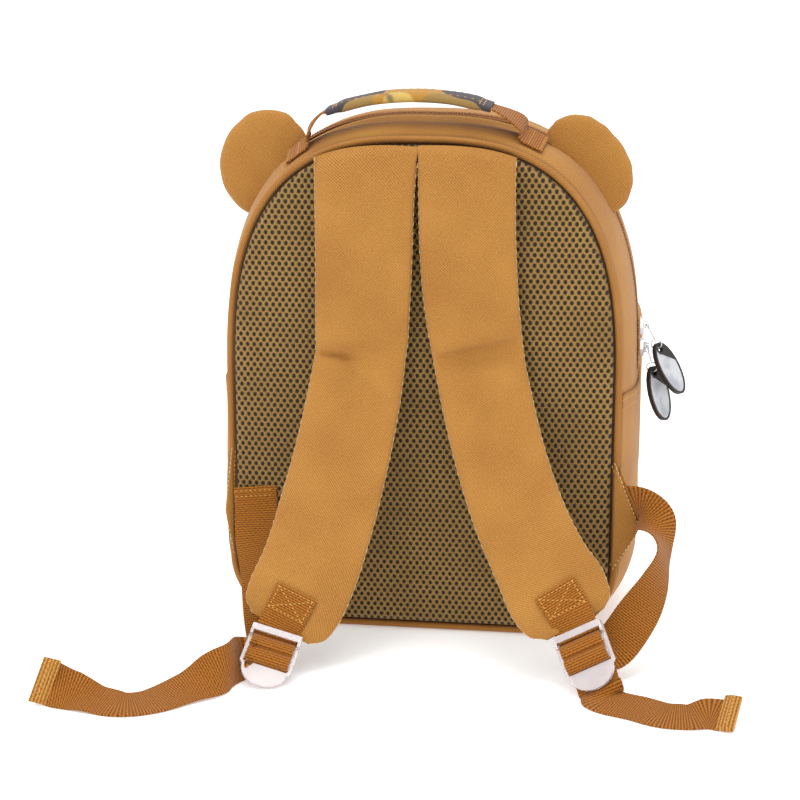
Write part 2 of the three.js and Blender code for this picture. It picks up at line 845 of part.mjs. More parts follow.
function placed(mesh, { origin, u, v, w }) {
  mesh.position.copy(origin);
  mesh.quaternion.setFromRotationMatrix(new THREE.Matrix4().makeBasis(u, v, w));
  return mesh;
}

// The tab is sewn to the strap's face, passes under the lip and turns round the loop bar.
function strapTab(table, frame, grow = 0) {
  const sections = smoothRows(strapRows(table), 6).reverse();
  const end = sections[0].at;
  const level = bucklePlate / 2 + 0.25 + webThick / 2;
  const onFace = (share) => {
    const s = sections.find(({ at }) => at.distanceTo(end) > share * tabLength);
    const { w, out } = sectionAxes(s);
    const stand = (s.thick * strapThick) / 2 + seamGap + webThick / 2;
    return {
      at: s.at.clone().addScaledVector(out, -Math.sign(out.y) * stand),
      width: w.multiplyScalar(Math.sign(w.dot(frame.u))),
    };
  };
  const turn = loopBar + 0.25 + webThick / 2;
  const rowsHere = [
    onFace(1),
    onFace(0.7),
    onFace(0.4),
    { at: frame.place(0, -2, level), width: frame.u },
    { at: frame.place(0, 0.2, level), width: frame.u },
    { at: frame.place(0, turn - tabBend, level), width: frame.u },
    { at: frame.place(0, turn, level - tabBend), width: frame.u },
    { at: frame.place(0, turn, tabBend - level), width: frame.u },
    { at: frame.place(0, turn - tabBend, -level), width: frame.u },
    { at: frame.place(0, 0.6, -level), width: frame.u },
  ];
  return ribbon(rowsHere, rectangle(webWidth + 2 * grow, webThick + 2 * grow), 2);
}

// Adjusting webbings. A loop row holds a place as shares of the panel's half width, the body's
// depth and the panel's height, and the direction of the webbing's width.
const leftLoopTable = [
  { across: -1.045, out: 0.12, up: 0.296, width: [0.35, -0.55, -0.75] },
  { across: -0.95, out: 0.25, up: 0.272, width: [0.8, -0.4, -0.45] },
  { across: -0.84, out: 0.35, up: 0.21, width: [1, 0, -0.1] },
  { across: -0.785, out: 0.46, up: 0.142, width: [1, 0, 0] },
  { across: -0.735, out: 0.58, up: 0.072, width: [0.98, 0, -0.15] },
  { across: -0.69, out: 0.68, up: 0.031, width: [0.96, 0, -0.27] },
];
const rightLoopTable = [
  { across: 1.16, out: 0.08, up: 0.302, width: [-0.2, -0.7, -0.65] },
  { across: 1.25, out: 0.18, up: 0.275, width: [-0.45, -0.85, -0.1] },
  { across: 1.285, out: 0.28, up: 0.227, width: [-0.5, -0.85, 0.1] },
  { across: 1.24, out: 0.38, up: 0.172, width: [-0.75, -0.5, 0.4] },
  { across: 1.145, out: 0.49, up: 0.11, width: [-0.87, -0.1, 0.48] },
  { across: 1.03, out: 0.59, up: 0.058, width: [-0.97, 0, 0.15] },
  { across: 0.93, out: 0.645, up: 0.052, width: [-0.93, 0, -0.3] },
];
// Past the second slot, in the buckle's own axes: across is a share of the webbing's width,
// along of the buckle's length and behind of the webbing's thickness.
const leftExitTable = [{ across: 0.03, along: 0.63, behind: 4 }];
const rightExitTable = [
  { across: -0.01, along: 0.76, behind: 2.75 },
  { across: 0, along: 1.03, behind: 2.75 },
];
// A tail row holds a place on the floor, the heading and the lift of the width in degrees.
const leftTailTable = [
  { across: -0.79, out: 0.845, heading: -50, lift: -50 },
  { across: -0.862, out: 1.06, heading: -96, lift: -63 },
  { across: -1.036, out: 1.2, heading: -78, lift: -18 },
  { across: -1.18, out: 1.35, heading: -73, lift: -7 },
  { across: -1.304, out: 1.41, heading: -65, lift: -8 },
  { across: -1.43, out: 1.39, heading: -53, lift: -13 },
  { across: -1.554, out: 1.37, heading: -30, lift: -28 },
  { across: -1.67, out: 1.39, heading: -5, lift: -46 },
];
const rightTailTable = [
  { across: 1.024, out: 0.994, heading: 231, lift: -10 },
  { across: 1.19, out: 1.08, heading: 240, lift: -8 },
  { across: 1.31, out: 1.15, heading: 248, lift: -8 },
  { across: 1.43, out: 1.155, heading: 235, lift: -8 },
  { across: 1.53, out: 1.13, heading: 210, lift: -14 },
  { across: 1.6, out: 1.16, heading: 192, lift: -17 },
];

function tailRows(table) {
  return table.map((row) => {
    const lift = row.lift * degree;
    const turn = row.heading * degree;
    const flat = Math.cos(lift);
    const width = vec(Math.cos(turn) * flat, Math.sin(turn) * flat, Math.sin(lift));
    const up =(webWidth / 2) * Math.abs(Math.sin(lift)) + webThick / 2 + floorGap;
    return { at: vec(row.across * panelHalf, backY - row.out * bodyDepth, up), width };
  });
}

function wingCorner(side, height, reach) {
  const s = panelEdge.at(panelEdge.shareAt(height));
  const out = 2 * pipingRadius + seamGap / 2 + reach;
  return vec(side * (s.x + s.nx * out), backY + 1, s.z + s.nz * out);
}

// Reach past the wing's edge and stand off its face, as shares of the sewn length.
const sewnTable = [
  { reach: -1, stand: 0 },
  { reach: 0, stand: 0.18 },
  { reach: 0.6, stand: 0.55 },
];

// The webbing is sewn to the wing's face, along its upper outer edge.
function webbingStart(side) {
  const top = wingCorner(side, wingTip + webWidth * 0.92, wingReach * 0.2);
  const tip = wingCorner(side, wingTip, wingReach);
  const width = tip.clone().sub(top).normalize();
  const middle = top.add(tip).multiplyScalar(0.5);
  middle.y -= wingThick + seamGap + webThick / 2;
  const away = vec(-side * width.z, 0, side * width.x);
  return sewnTable.map((row) => ({
    at: middle
      .clone()
      .addScaledVector(away, row.reach * webbingSewn)
      .add(vec(0, -row.stand * webbingSewn, 0)),
    width,
  }));
}

// Through the buckle: up by the first slot, over both ridges and down by the second.
function buckleRows(frame, sign) {
  const width = frame.u.clone().multiplyScalar(sign);
  const slot = slotEnd - seamGap - webThick / 2;
  const top = bucklePlate / 2 + webThick / 2 + 0.3;
  const crest = bucklePlate / 2 + ridgeHigh + webThick / 2 + 0.3;
  const second = ridgeEnd + seamGap + webThick / 2;
  return [
    [slot, -4.6],
    [slot, -1.4],
    [slot, 0.9],
    [slot + 1.2, top + 0.35],
    [slotEnd + ridgeBar * 0.22, crest],
    [slotEnd + ridgeBar * 0.5, top + 0.3],
    [slotEnd + ridgeBar * 0.78, crest],
    [second - 1.2, top + 0.35],
    [second, 0.9],
    [second, -1.2],
    [second, -2.6],
  ].map(([v, w]) => ({ at: frame.place(0, v, w), width }));
}

function adjusterRows(side) {
  const loop = side < 0 ? leftLoopTable : rightLoopTable;
  const frame = side < 0 ? leftBuckle : rightBuckle;
  const loopRows = loop.map((row) => ({
    at: vec(row.across * panelHalf, backY - row.out * bodyDepth, row.up * panelHigh),
    width: vec(...row.width).normalize(),
  }));
  const exit = (side < 0 ? leftExitTable : rightExitTable).map((row) => ({
    at: frame.place(row.across * webWidth, row.along * buckleLength, -row.behind * webThick),
    width: frame.u.clone().multiplyScalar(side),
  }));
  const tail = tailRows(side < 0 ? leftTailTable : rightTailTable);
  return [...webbingStart(side), ...loopRows, ...buckleRows(frame, side), ...exit, ...tail];
}

const adjuster = (side) => ribbon(adjusterRows(side), rectangle(webWidth, webThick));

// The webbing's end is rolled over and stitched.
function tailHem(side) {
  const rows = adjusterRows(side);
  const [last] = smoothRows(rows, rowSteps).slice(-1);
  const { w } = sectionAxes(last);
  const start = last.at.clone().addScaledVector(last.along, 3 * seamGap);
  const hem = [0, 1].map((k) => ({
    at: start
      .clone()
      .addScaledVector(last.along, k * hemDeep)
      .add(vec(0, 0, k * 0.4 + (hemRoll - webThick) / 2)),
    width: w,
  }));
  return ribbon(hem, padProfile(webWidth + 1, hemRoll, 8), 1);
}

function wing(side) {
  const corners = [
    wingCorner(side, wingHigh, 0),
    wingCorner(side, wingTip, wingReach),
    wingCorner(side, wingLow, 0),
  ];
  const shape = new THREE.Shape(corners.map((c) => new THREE.Vector2(c.x, c.z)));
  const geometry = new THREE.ExtrudeGeometry(shape, { depth: wingThick, bevelEnabled: false });
  return geometry.rotateX(Math.PI / 2).translate(0, corners[0].y, 0);
}

// Zip sliders and their pulls

// The axes of a slider: u across the zip, v down along it, w out of the gusset.
function sliderFrame(height, lift) {
  const share = panelEdge.shareAt(height);
  const s = panelEdge.at(share);
  const w = vec(s.nx, 0, s.nz);
  const v = vec(s.nz, 0, -s.nx);
  return { origin: gussetPoint(share, zipY, lift), u: v.clone().cross(w), v, w };
}

const sliderLift = coilHeight + seamGap;
const pivotLift = sliderThick + bridgeHeight * 0.5;

function sliderGeometry() {
  const [a, b] = [sliderWidth / 2, sliderLength / 2];
  const outline = [[-a, -b], [a, -b], [a, b * 0.1], [a * 0.6, b], [-a * 0.6, b], [-a, b * 0.1]];
  const base = plate(outline, 0, sliderThick);
  const half = bridgeLength / 2;
  const hole = bailWire / 2 + seamGap;
  const bridge = plate(
    [[-half, -0.4], [half, -0.4], [half * 0.7, bridgeHeight], [-half * 0.7, bridgeHeight]],
    -bridgeWidth / 2,
    bridgeWidth,
    [box(-hole, hole, bridgeHeight * 0.5 - hole, bridgeHeight * 0.5 + hole)],
  );
  // The bridge is drawn along the slider's length and stood up on its top.
  bridge.rotateX(Math.PI / 2).rotateZ(Math.PI / 2).translate(0, 0, sliderThick);
  return join(base, bridge);
}

function bailGeometry() {
  const [a, b] = [bailWidth / 2, bailLength];
  const wire = bailWire;
  return plate(
    box(-a, a, -wire / 2, b - wire / 2),
    -wire / 2,
    wire,
    [box(-a + wire, a - wire, wire / 2, b - 1.5 * wire)],
  );
}

const ringPlace = bailLength - 1.5 * bailWire - seamGap - ringWire / 2 + ringRadius;
const discTop = bailLength - bailWire / 2 + seamGap + 0.2;

function ringGeometry() {
  return new THREE.TorusGeometry(ringRadius, ringWire / 2, 5, 12)
    .rotateY(Math.PI / 2)
    .translate(0, ringPlace, 0);
}

function discGeometry() {
  const steps = 22;
  const outline = Array.from({ length: steps }, (_, i) => {
    const a = (i / steps) * 2 * Math.PI;
    return [(discWidth / 2) * Math.sin(a), (discLength / 2) * (1 - Math.cos(a)) + discTop];
  });
  const holeSteps = 8;
  const centre = discTop + discRim + discHole;
  const hole = Array.from({ length: holeSteps }, (_, i) => {
    const a = (i / holeSteps) * 2 * Math.PI;
    return [discHole * Math.cos(a), centre + discHole * Math.sin(a)];
  });
  return plate(outline, -discThick / 2, discThick, [hole]).rotateY(discTurn * degree);
}

// The front pocket's slider with its plain pull, drawn flat and stood on the zip.
function pocketSliderGeometry() {
  const half = sliderWidth / 2;
  const base = plate(box(-half, half, -sliderLength / 2, sliderLength / 2), 0, sliderThick);
  const pull = plate(box(-half, half, 0, pocketPullLength), sliderThick - 0.1, zipThick);
  return join(base, pull);
}

function pocketSliderFrame() {
  const s = pocketEdge.at(pocketEdge.shareAcross(pocketZipLength * 0.3));
  const w = vec(s.nx, 0, s.nz);
  const v = vec(-s.nz, 0, s.nx);
  const origin = pocketPoint(pocketEdge.shareAcross(pocketZipLength * 0.3), pocketZipY, sliderLift);
  return { origin, u: v.clone().cross(w), v, w };
}

// Materials, with the colours of the photograph

const cloth = (color, roughness = 0.85) =>
  new THREE.MeshStandardMaterial({ color, roughness, metalness: 0 });
const twill = cloth(0xc4863f);
const mesh3d = cloth(0xa58a58, 0.9);
const pipingCloth = cloth(0xb5752f);
const webbingCloth = cloth(0xb8762c);
const coilPlastic = cloth(0x9a5f2c, 0.6);
const printCloth = cloth(0xb58f4c);
const clearPlastic = cloth(0xe8dcdc, 0.3);
const rubber = cloth(0x3a3636, 0.55);
const metal = new THREE.MeshStandardMaterial({ color: 0xc9c9cc, roughness: 0.25, metalness: 1 });

const backpack = new THREE.Group();

function add(name, geometry, material, parent = backpack) {
  const mesh = new THREE.Mesh(geometry, material);
  mesh.name = name;
  parent.add(mesh);
  return mesh;
}

add("body_shell", bodyShell(), twill);
add("back_panel", backPanel(), mesh3d);
add("back_piping", backPiping(), pipingCloth);
add("main_zip", mainZip(), coilPlastic);
add("front_pocket", frontPocket(), twill);
add("front_pocket_zip", pocketZip(), coilPlastic);
add("handle_grip", handleGrip(), printCloth);
for (const [name, side] of [["left", -1], ["right", 1]]) {
  add("ear_" + name, ear(side), twill);
  add("side_pocket_" + name, sidePocket(side), twill);
  add("handle_end_" + name, handleEnd(side), webbingCloth);
  add("wing_" + name, wing(side), twill);
  const table = side < 0 ? leftStrapTable : rightStrapTable;
  const frame = side < 0 ? leftBuckle : rightBuckle;
  add("shoulder_strap_" + name, shoulderStrap(table, frame), twill);
  add("strap_tab_" + name, strapTab(table, frame), webbingCloth);
  placed(add("buckle_" + name, buckleGeometry(), clearPlastic), frame);
  add("adjuster_" + name, adjuster(side), webbingCloth);
  add("tail_hem_" + name, tailHem(side), webbingCloth);
}

const pulls = [
  { name: "upper", height: sidePocketTop + lowerSliderAbove + sliderPitch, lean: upperLean },
  { name: "lower", height: sidePocketTop + lowerSliderAbove, lean: lowerLean },
];
placed(add("front_pocket_slider", pocketSliderGeometry(), metal), pocketSliderFrame());
for (const { name, height, lean } of pulls) {
  placed(add("slider_" + name, sliderGeometry(), metal), sliderFrame(height, sliderLift));
  const pull = new THREE.Group();
  placed(pull, sliderFrame(height, sliderLift + pivotLift));
  pull.rotateX(lean * degree);
  backpack.add(pull);
  add("bail_" + name, bailGeometry(), metal, pull);
  add("ring_" + name, ringGeometry(), metal, pull);
  add("pull_disc_" + name, discGeometry(), rubber, pull);
}

export default backpack;
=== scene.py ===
# %% [markdown]
# # A child's backpack with round ears
#
# The bag is built piece by piece as it is sewn: an air-mesh back panel, a piped seam, a gusset
# with its zip, padded straps and ears, webbing with its buckles, and the pulls on the zip.
# It could be sculpted as one body, but then no seam would be crisp and no part could be used
# again, so each cut of cloth is a piece of its own.
#
# Places come from the CAD frame, in which X runs across the back, Y from the back panel to the
# front pocket and Z up. Sizes below are in millimetres and become metres when a mesh is made.

import math

import bmesh
import bpy
from mathutils import Matrix, Vector, noise


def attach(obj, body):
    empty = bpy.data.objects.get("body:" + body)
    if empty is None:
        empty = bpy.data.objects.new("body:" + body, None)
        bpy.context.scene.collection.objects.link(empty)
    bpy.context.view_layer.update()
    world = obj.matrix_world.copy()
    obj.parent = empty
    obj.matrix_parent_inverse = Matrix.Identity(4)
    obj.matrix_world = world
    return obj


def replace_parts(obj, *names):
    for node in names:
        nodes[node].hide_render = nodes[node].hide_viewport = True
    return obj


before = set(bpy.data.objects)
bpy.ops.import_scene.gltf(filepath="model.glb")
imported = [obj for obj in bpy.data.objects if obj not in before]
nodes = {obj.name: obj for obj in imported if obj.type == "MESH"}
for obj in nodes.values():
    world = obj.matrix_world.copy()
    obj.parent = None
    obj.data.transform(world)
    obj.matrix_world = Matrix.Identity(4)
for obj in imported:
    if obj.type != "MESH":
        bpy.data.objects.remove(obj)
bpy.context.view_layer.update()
print("CAD nodes:", len(nodes))

# %% [markdown]
# ## Measures
#
# The named sizes are the ones that the CAD model was built from, so each visual piece lands on
# the solid that it stands for. They could be measured off the CAD meshes instead, but a named
# size says what it is and can be changed in one place.

# %% Measures
mm = 0.001
seam_gap = 0.3
cloth_wall = 2.0
web_width = 25.0
web_thick = 1.2
floor_gap = 0.2

panel_half = 111.5
panel_high = 291.0
panel_low = 4.2
body_depth = 100.0
back_y = -body_depth / 2
front_y = body_depth / 2
rim_y = back_y + 3.5
panel_thick = 7.0
panel_crown = 2.6
panel_face_y = rim_y - seam_gap - panel_thick
gusset_bulge = 10.5
base_share = 0.45
piping_radius = 1.9
piping_y = rim_y - seam_gap - piping_radius

zip_y = 0.0
zip_width = 9.0
side_pocket_top = 147.0
zip_end_height = side_pocket_top + 5.0
around = 300  # faces round the bag's edge
stitch_pitch = 2.8
stitch_reach = 11  # rows of stitches stop this far from a webbing's middle
stitch_stand = 0.1  # and lie this far off it
print("Body:", 2 * panel_half, "x", panel_high, "x", body_depth, "mm")

# %% [markdown]
# ## Small sums
#
# Folds and swells need a few shapes of curve. A ramp that starts and ends flat, a bell and
# Blender's own smooth noise are enough, and they give the same result in each run.

# %% Ramps, bells and swells


def vec(x, y, z):
    return Vector((x, y, z))


def smooth(edge0, edge1, x):
    t = min(1.0, max(0.0, (x - edge0) / (edge1 - edge0)))
    return t * t * (3 - 2 * t)


def bump(x, centre, width):
    return math.exp(-(((x - centre) / width) ** 2))


def wander(x, y, z, size):
    """Smooth noise between about -1 and 1; size is the length of one swell."""
    return noise.noise(Vector((x / size, y / size, z / size)))


print("A ramp at a quarter of its way:", round(smooth(0, 1, 0.25), 3))


# %% [markdown]
# ## Making meshes
#
# Sewn cloth is a flat sheet that has been bent. It could be sculpted or simulated, but seams
# and foam hold this bag's cloth in place, so every surface is a grid whose vertices are moved
# there: the operator makes the faces and the coordinates for the weave, and the code only says
# where each row of cloth lies. A tube closes its grid across, a ring closes it along, and a
# row that shrinks to one point becomes a pole when the doubled vertices are merged.

# %% Keeping a piece
pieces = {}
# Each material's slot; sewing thread is dyed with the cloth that it holds.
slot_of = {
    "twill": "twill", "twill_with_painted_shade": "twill", "twill_flat": "twill", "thread": "twill",
    "edge_cream": "twill", "edge_binding": "twill", "piping_cloth": "piping",
    "air_mesh": "air_mesh", "webbing": "webbing", "webbing_light": "webbing",
    "print_cloth": "print_cloth", "pale_thread": "print_cloth", "coil": "coil",
    "zip_tape": "coil", "clear_plastic": "clear_plastic", "rubber": "rubber",
    "plated_steel": "metal",
}


def keep(name, bm, material, body="bag", smooth_angle=0):
    """Turns a bmesh into a named piece that rides on a body."""
    mesh = bpy.data.meshes.new(name)
    bm.to_mesh(mesh)
    bm.free()
    mesh.shade_smooth()
    if smooth_angle:
        mesh.set_sharp_from_angle(angle=math.radians(smooth_angle))
    piece = bpy.data.objects.new(name, mesh)
    bpy.context.scene.collection.objects.link(piece)
    for m in material if isinstance(material, (list, tuple)) else [material]:
        mesh.materials.append(m)
    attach(piece, body)
    slot_of[mesh.materials[0].name.split(".")[0]]
    pieces[name] = piece
    return piece


print("Slots in use:", len(set(slot_of.values())))

# %% Grids of cloth


def loft(sections, uv, closed=True, loop=False, caps=False):
    """A grid through the sections, in millimetres; uv(i, k) gives millimetres too."""
    count, rows = len(sections[0]), len(sections)
    across = count if closed else count - 1
    along = rows if loop else rows - 1
    bm = bmesh.new()
    layer = bm.loops.layers.uv.new("UVMap")
    bmesh.ops.create_grid(bm, x_segments=across, y_segments=along, size=0.5, calc_uvs=True)
    for v in bm.verts:
        i, k = round((v.co.x + 0.5) * across), round((v.co.y + 0.5) * along)
        v.co = sections[k % rows][i % count] * mm
    for f in bm.faces:
        for l in f.loops:
            i, k = round(l[layer].uv.x * across), round(l[layer].uv.y * along)
            l[layer].uv = Vector(uv(i, k)) * mm
    bmesh.ops.remove_doubles(bm, verts=bm.verts, dist=1e-7)
    rim = [e for e in bm.edges if e.is_boundary]
    if caps and rim:
        bmesh.ops.holes_fill(bm, edges=rim)
    bmesh.ops.recalc_face_normals(bm, faces=bm.faces)
    return bm


def from_behind(sections):
    """Weave coordinates for cloth that faces along Y: its own X and Z."""
    def place(i, k):
        at = sections[k % len(sections)][i % len(sections[0])]
        return at.x, at.z
    return place


def filled(rim, middle, rings, gather, depth):
    """Rings that close a rim towards its middle; depth(place, share) gives their Y."""
    made = []
    for k in range(1, rings + 1):
        share = (k / rings) ** gather
        ring = [p.lerp(middle, share) for p in rim]
        for at in ring:
            at.y = depth(at, share)
        made.append(ring)
    return made


def facing(bm, direction):
    """Turns an open sheet's faces so that most of them look in the direction."""
    if sum(f.normal.dot(direction) for f in bm.faces) < 0:
        bmesh.ops.reverse_faces(bm, faces=bm.faces)
    return bm


def solidify(piece, thickness, offset=-1.0):
    m = piece.modifiers.new("thickness", "SOLIDIFY")
    m.thickness = thickness * mm
    m.offset = offset


# %% Pieces from CAD nodes
weld = 2e-6


def merged_copy(node, flat_angle):
    """A CAD node's loose triangles as one closed body with whole flat faces."""
    bm = bmesh.new()
    bm.from_mesh(nodes[node].data)
    bmesh.ops.remove_doubles(bm, verts=bm.verts, dist=weld)
    bmesh.ops.dissolve_limit(bm, angle_limit=math.radians(flat_angle), verts=bm.verts,
                             edges=bm.edges)
    return bm


def rounded(piece, width, angle, harden=False):
    m = piece.modifiers.new("rounding", "BEVEL")
    m.width = width * mm
    m.segments = 2
    m.limit_method = "ANGLE"
    m.angle_limit = math.radians(angle)
    m.harden_normals = harden


def copy_of(node, name, material, width, body="bag"):
    """A CAD node's shape with rounded edges, as a moulding or a pressing has."""
    piece = keep(name, merged_copy(node, 1), material, body, smooth_angle=50)
    rounded(piece, width, 35, harden=True)
    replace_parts(piece, node)
    return piece


# %% Stitches and teeth


def beads(name, frames, size, material):
    """Small rounded bodies of a size along, across and out; frames are (place, x, y) axes."""
    bm = bmesh.new()
    for place, x, y in frames:
        z = x.cross(y).normalized()
        turn = Matrix((x, y, z)).transposed().to_4x4()
        scale = Matrix.Diagonal((*(s / 2 * mm for s in size), 1))
        at = Matrix.Translation(place * mm) @ turn @ scale
        bmesh.ops.create_icosphere(bm, subdivisions=1, radius=1, matrix=at)
    return keep(name, bm, material)


def stitches(line, pitch, normal):
    """Frames for stitches along a polyline of places; normal(k) is the cloth's normal there."""
    frames = []
    carry = 0.0
    for k, (a, b) in enumerate(zip(line, line[1:])):
        step = (b - a).length
        if step < 1e-6:
            continue
        along = (b - a) / step
        while carry < step:
            y = normal(k).cross(along).normalized()
            frames.append((a + along * carry, along, y))
            carry += pitch
        carry -= step
    return frames


demo_row = [vec(0, 0, 0), vec(30, 0, 0)]
print("Stitches in 30 mm:", len(stitches(demo_row, stitch_pitch, lambda k: vec(0, 0, 1))))

# %% [markdown]
# ## Curves
#
# Straps and webbings are bands that bend and twist. A Blender curve with a bevel could draw
# them, but its twist is hard to steer, so each band is a table of rows: a place and a direction
# for its width. The rows are joined by the same kind of curve as in the CAD model, centripetal
# for the places, so that it doesn't swing out at short rows, and uniform for the widths.

# %% A curve through points


def curve_point(points, t, centripetal):
    last = len(points) - 1
    k = min(int(last * t), last - 1)
    w = last * t - k
    p1, p2 = points[k], points[k + 1]
    p0 = points[k - 1] if k > 0 else p1 * 2 - p2
    p3 = points[k + 2] if k + 2 <= last else p2 * 2 - p1
    if centripetal:
        d0, d1, d2 = [max((b - a).length ** 0.5, 1e-4) for a, b in ((p0, p1), (p1, p2), (p2, p3))]
        m1 = ((p1 - p0) / d0 - (p2 - p0) / (d0 + d1) + (p2 - p1) / d1) * d1
        m2 = ((p2 - p1) / d1 - (p3 - p1) / (d1 + d2) + (p3 - p2) / d2) * d1
    else:
        m1, m2 = (p2 - p0) * 0.5, (p3 - p1) * 0.5
    c2 = p1 * -3 + p2 * 3 - m1 * 2 - m2
    c3 = p1 * 2 - p2 * 2 + m1 + m2
    return p1 + m1 * w + c2 * w**2 + c3 * w**3


demo_rows = [vec(0, 0, 0), vec(10, 5, 0), vec(20, 0, 0)]
print("A quarter of the way:", [round(c, 2) for c in curve_point(demo_rows, 0.25, True)])

# %% A band through rows


class Band:
    """A band through rows: each row is (place, width direction, wide, thick)."""

    def __init__(self, rows, steps):
        self.rows = rows
        count = (len(rows) - 1) * steps
        self.samples = [self.at(k / count) for k in range(count + 1)]
        self.lengths = [0.0]
        for a, b in zip(self.samples, self.samples[1:]):
            self.lengths.append(self.lengths[-1] + (b["at"] - a["at"]).length)

    def at(self, t):
        places = [r[0] for r in self.rows]
        at = curve_point(places, t, True)
        low, high = max(0.0, t - 1e-4), min(1.0, t + 1e-4)
        ahead, behind = curve_point(places, high, True), curve_point(places, low, True)
        along = (ahead - behind).normalized()
        width = curve_point([r[1] for r in self.rows], t, False)
        size = curve_point([vec(r[2], r[3], 0) for r in self.rows], t, False)
        w = (width - along * width.dot(along)).normalized()
        return {"at": at, "along": along, "w": w, "out": along.cross(w).normalized(),
                "wide": size.x, "thick": size.y}

    def part(self, section, shape=None):
        """Sections of the band; shape(sample, length, x, y) may move a point of one."""
        result = []
        for k, s in enumerate(self.samples):
            ring = []
            for x, y in section:
                px, py = x * s["wide"], y * s["thick"]
                if shape:
                    px, py = shape(s, self.lengths[k], px, py)
                ring.append(s["at"] + s["w"] * px + s["out"] * py)
            short = max(0.0, floor_gap - min(p.z for p in ring))
            result.append([p + vec(0, 0, short) for p in ring])
        return result

    def point(self, across, length, lift):
        """A place at a distance along and across, with the axes there."""
        last = len(self.lengths) - 1
        k = max(1, next((i for i, l in enumerate(self.lengths) if l > length), last))
        f = (length - self.lengths[k - 1]) / (self.lengths[k] - self.lengths[k - 1])
        a, b = self.samples[k - 1], self.samples[k]
        at = a["at"].lerp(b["at"], f)
        w, out = a["w"].lerp(b["w"], f).normalized(), a["out"].lerp(b["out"], f).normalized()
        return at + w * across + out * lift, w, out

    def row_across(self, length, lift):
        """Places across the band, a millimetre apart, for a row of stitches."""
        return [self.point(x, length, lift)[0] for x in range(-stitch_reach, stitch_reach + 1)]


# %% Sections of webbing and pads


def flat_section(width, thick, parts=10, radius=0.45):
    """A flat band's section with rounded edges, walked once round."""
    w, h = width / 2, thick / 2
    r = min(radius, h)
    corner = [(math.sin(a), math.cos(a)) for a in (0.3, 0.8, 1.27)]
    top = [(-w + r + (2 * w - 2 * r) * i / parts, h) for i in range(parts + 1)]
    right = [(w - r + r * s, h - r + r * c) for s, c in corner]
    half = top + right + [(w - r + r * s, -(h - r + r * c)) for s, c in reversed(corner)]
    bottom = [(-x, -h) for x, y in top]
    left = [(-(w - r + r * s), -(h - r + r * c)) for s, c in corner]
    left += [(-(w - r + r * s), h - r + r * c) for s, c in reversed(corner)]
    return half + bottom + left


def pad_section(width, height, steps, power):
    """A pillow's section; a higher power gives a squarer edge."""
    points = []
    for i in range(steps):
        a = (i + 0.5) / steps * 2 * math.pi
        c, s = math.cos(a), math.sin(a)
        points.append((math.copysign(abs(c) ** (2 / power), c) * width / 2,
                       math.copysign(abs(s) ** (2 / power), s) * height / 2))
    return points


def girth_of(section):
    """Distances round a closed section, from its first point back to it."""
    girth = [0.0]
    for a, b in zip(section, section[1:] + section[:1]):
        girth.append(girth[-1] + math.dist(a, b))
    return girth


def band_piece(name, band, section, material, node, shape=None, wrapped=False):
    """The band as one closed piece; its weave lies flat, or is wrapped round it."""
    run = girth_of(section) if wrapped else [x for x, y in section] + [section[0][0]]
    bm = loft(band.part(section, shape), lambda i, k: (run[i], band.lengths[k]), caps=True)
    piece = keep(name, bm, material, smooth_angle=50)
    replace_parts(piece, node)
    return piece


# %% [markdown]
# ## Outlines
#
# The back panel is an arch: straight sides, rounded lower corners and a squarish curve over the
# top. It could be traced point by point, but a superellipse over the sides gives the same
# shoulders from two numbers. A place on its edge is given as a share of the way round, from
# the middle of the base up the +X side.

# %% An arch's edge


class Arch:
    """An edge with straight sides, rounded lower corners and a superellipse on top."""

    def __init__(self, half, low, high, spring, power, corner):
        right = [(0.0, low)]
        for i in range(17):
            a = i / 16 * math.pi / 2
            right.append((half - corner + corner * math.sin(a),
                          low + corner - corner * math.cos(a)))
        for i in range(65):
            a = i / 64 * math.pi / 2
            right.append((half * math.cos(a) ** (2 / power),
                          spring + (high - spring) * math.sin(a) ** (2 / power)))
        both = right + [(-x, z) for x, z in reversed(right[:-1])]
        points = [both[0]]
        for p in both[1:]:
            if math.dist(p, points[-1]) > 1e-3:
                points.append(p)
        self.points, self.spring = points, spring
        self.lengths = [0.0]
        for a, b in zip(points, points[1:]):
            self.lengths.append(self.lengths[-1] + math.dist(a, b))
        self.total = self.lengths[-1]
        last = len(points) - 1
        self.normals = []
        for i in range(len(points)):
            ax, az = points[last - 1 if i == 0 else i - 1]
            bx, bz = points[1 if i == last else i + 1]
            l = math.dist((ax, az), (bx, bz))
            self.normals.append(((bz - az) / l, -(bx - ax) / l))

    def at(self, share):
        s = (share % 1.0) * self.total
        last = len(self.lengths) - 1
        k = max(1, next((i for i, l in enumerate(self.lengths) if l > s), last))
        f = (s - self.lengths[k - 1]) / (self.lengths[k] - self.lengths[k - 1])
        mix = lambda rows, j: rows[k - 1][j] + f * (rows[k][j] - rows[k - 1][j])
        nx, nz = mix(self.normals, 0), mix(self.normals, 1)
        l = math.hypot(nx, nz)
        return mix(self.points, 0), mix(self.points, 1), nx / l, nz / l

    def share_at(self, height):
        k = next(i for i, p in enumerate(self.points) if p[1] >= height)
        f = (height - self.points[k - 1][1]) / (self.points[k][1] - self.points[k - 1][1])
        return (self.lengths[k - 1] + f * (self.lengths[k] - self.lengths[k - 1])) / self.total

    def share_across(self, x):
        k = next(i for i, p in enumerate(self.points) if p[1] > self.spring and p[0] <= x)
        f = (self.points[k - 1][0] - x) / (self.points[k - 1][0] - self.points[k][0])
        return (self.lengths[k - 1] + f * (self.lengths[k] - self.lengths[k - 1])) / self.total


panel_edge = Arch(panel_half, panel_low, panel_high, spring=150.0, power=2.75, corner=38.0)
pocket_edge = Arch(118.0, 16.0, 187.0, spring=147.0, power=5.5, corner=62.0)
ring_at = [panel_edge.at(i / around) for i in range(around)]
print("Edge of the back panel:", round(panel_edge.total), "mm")

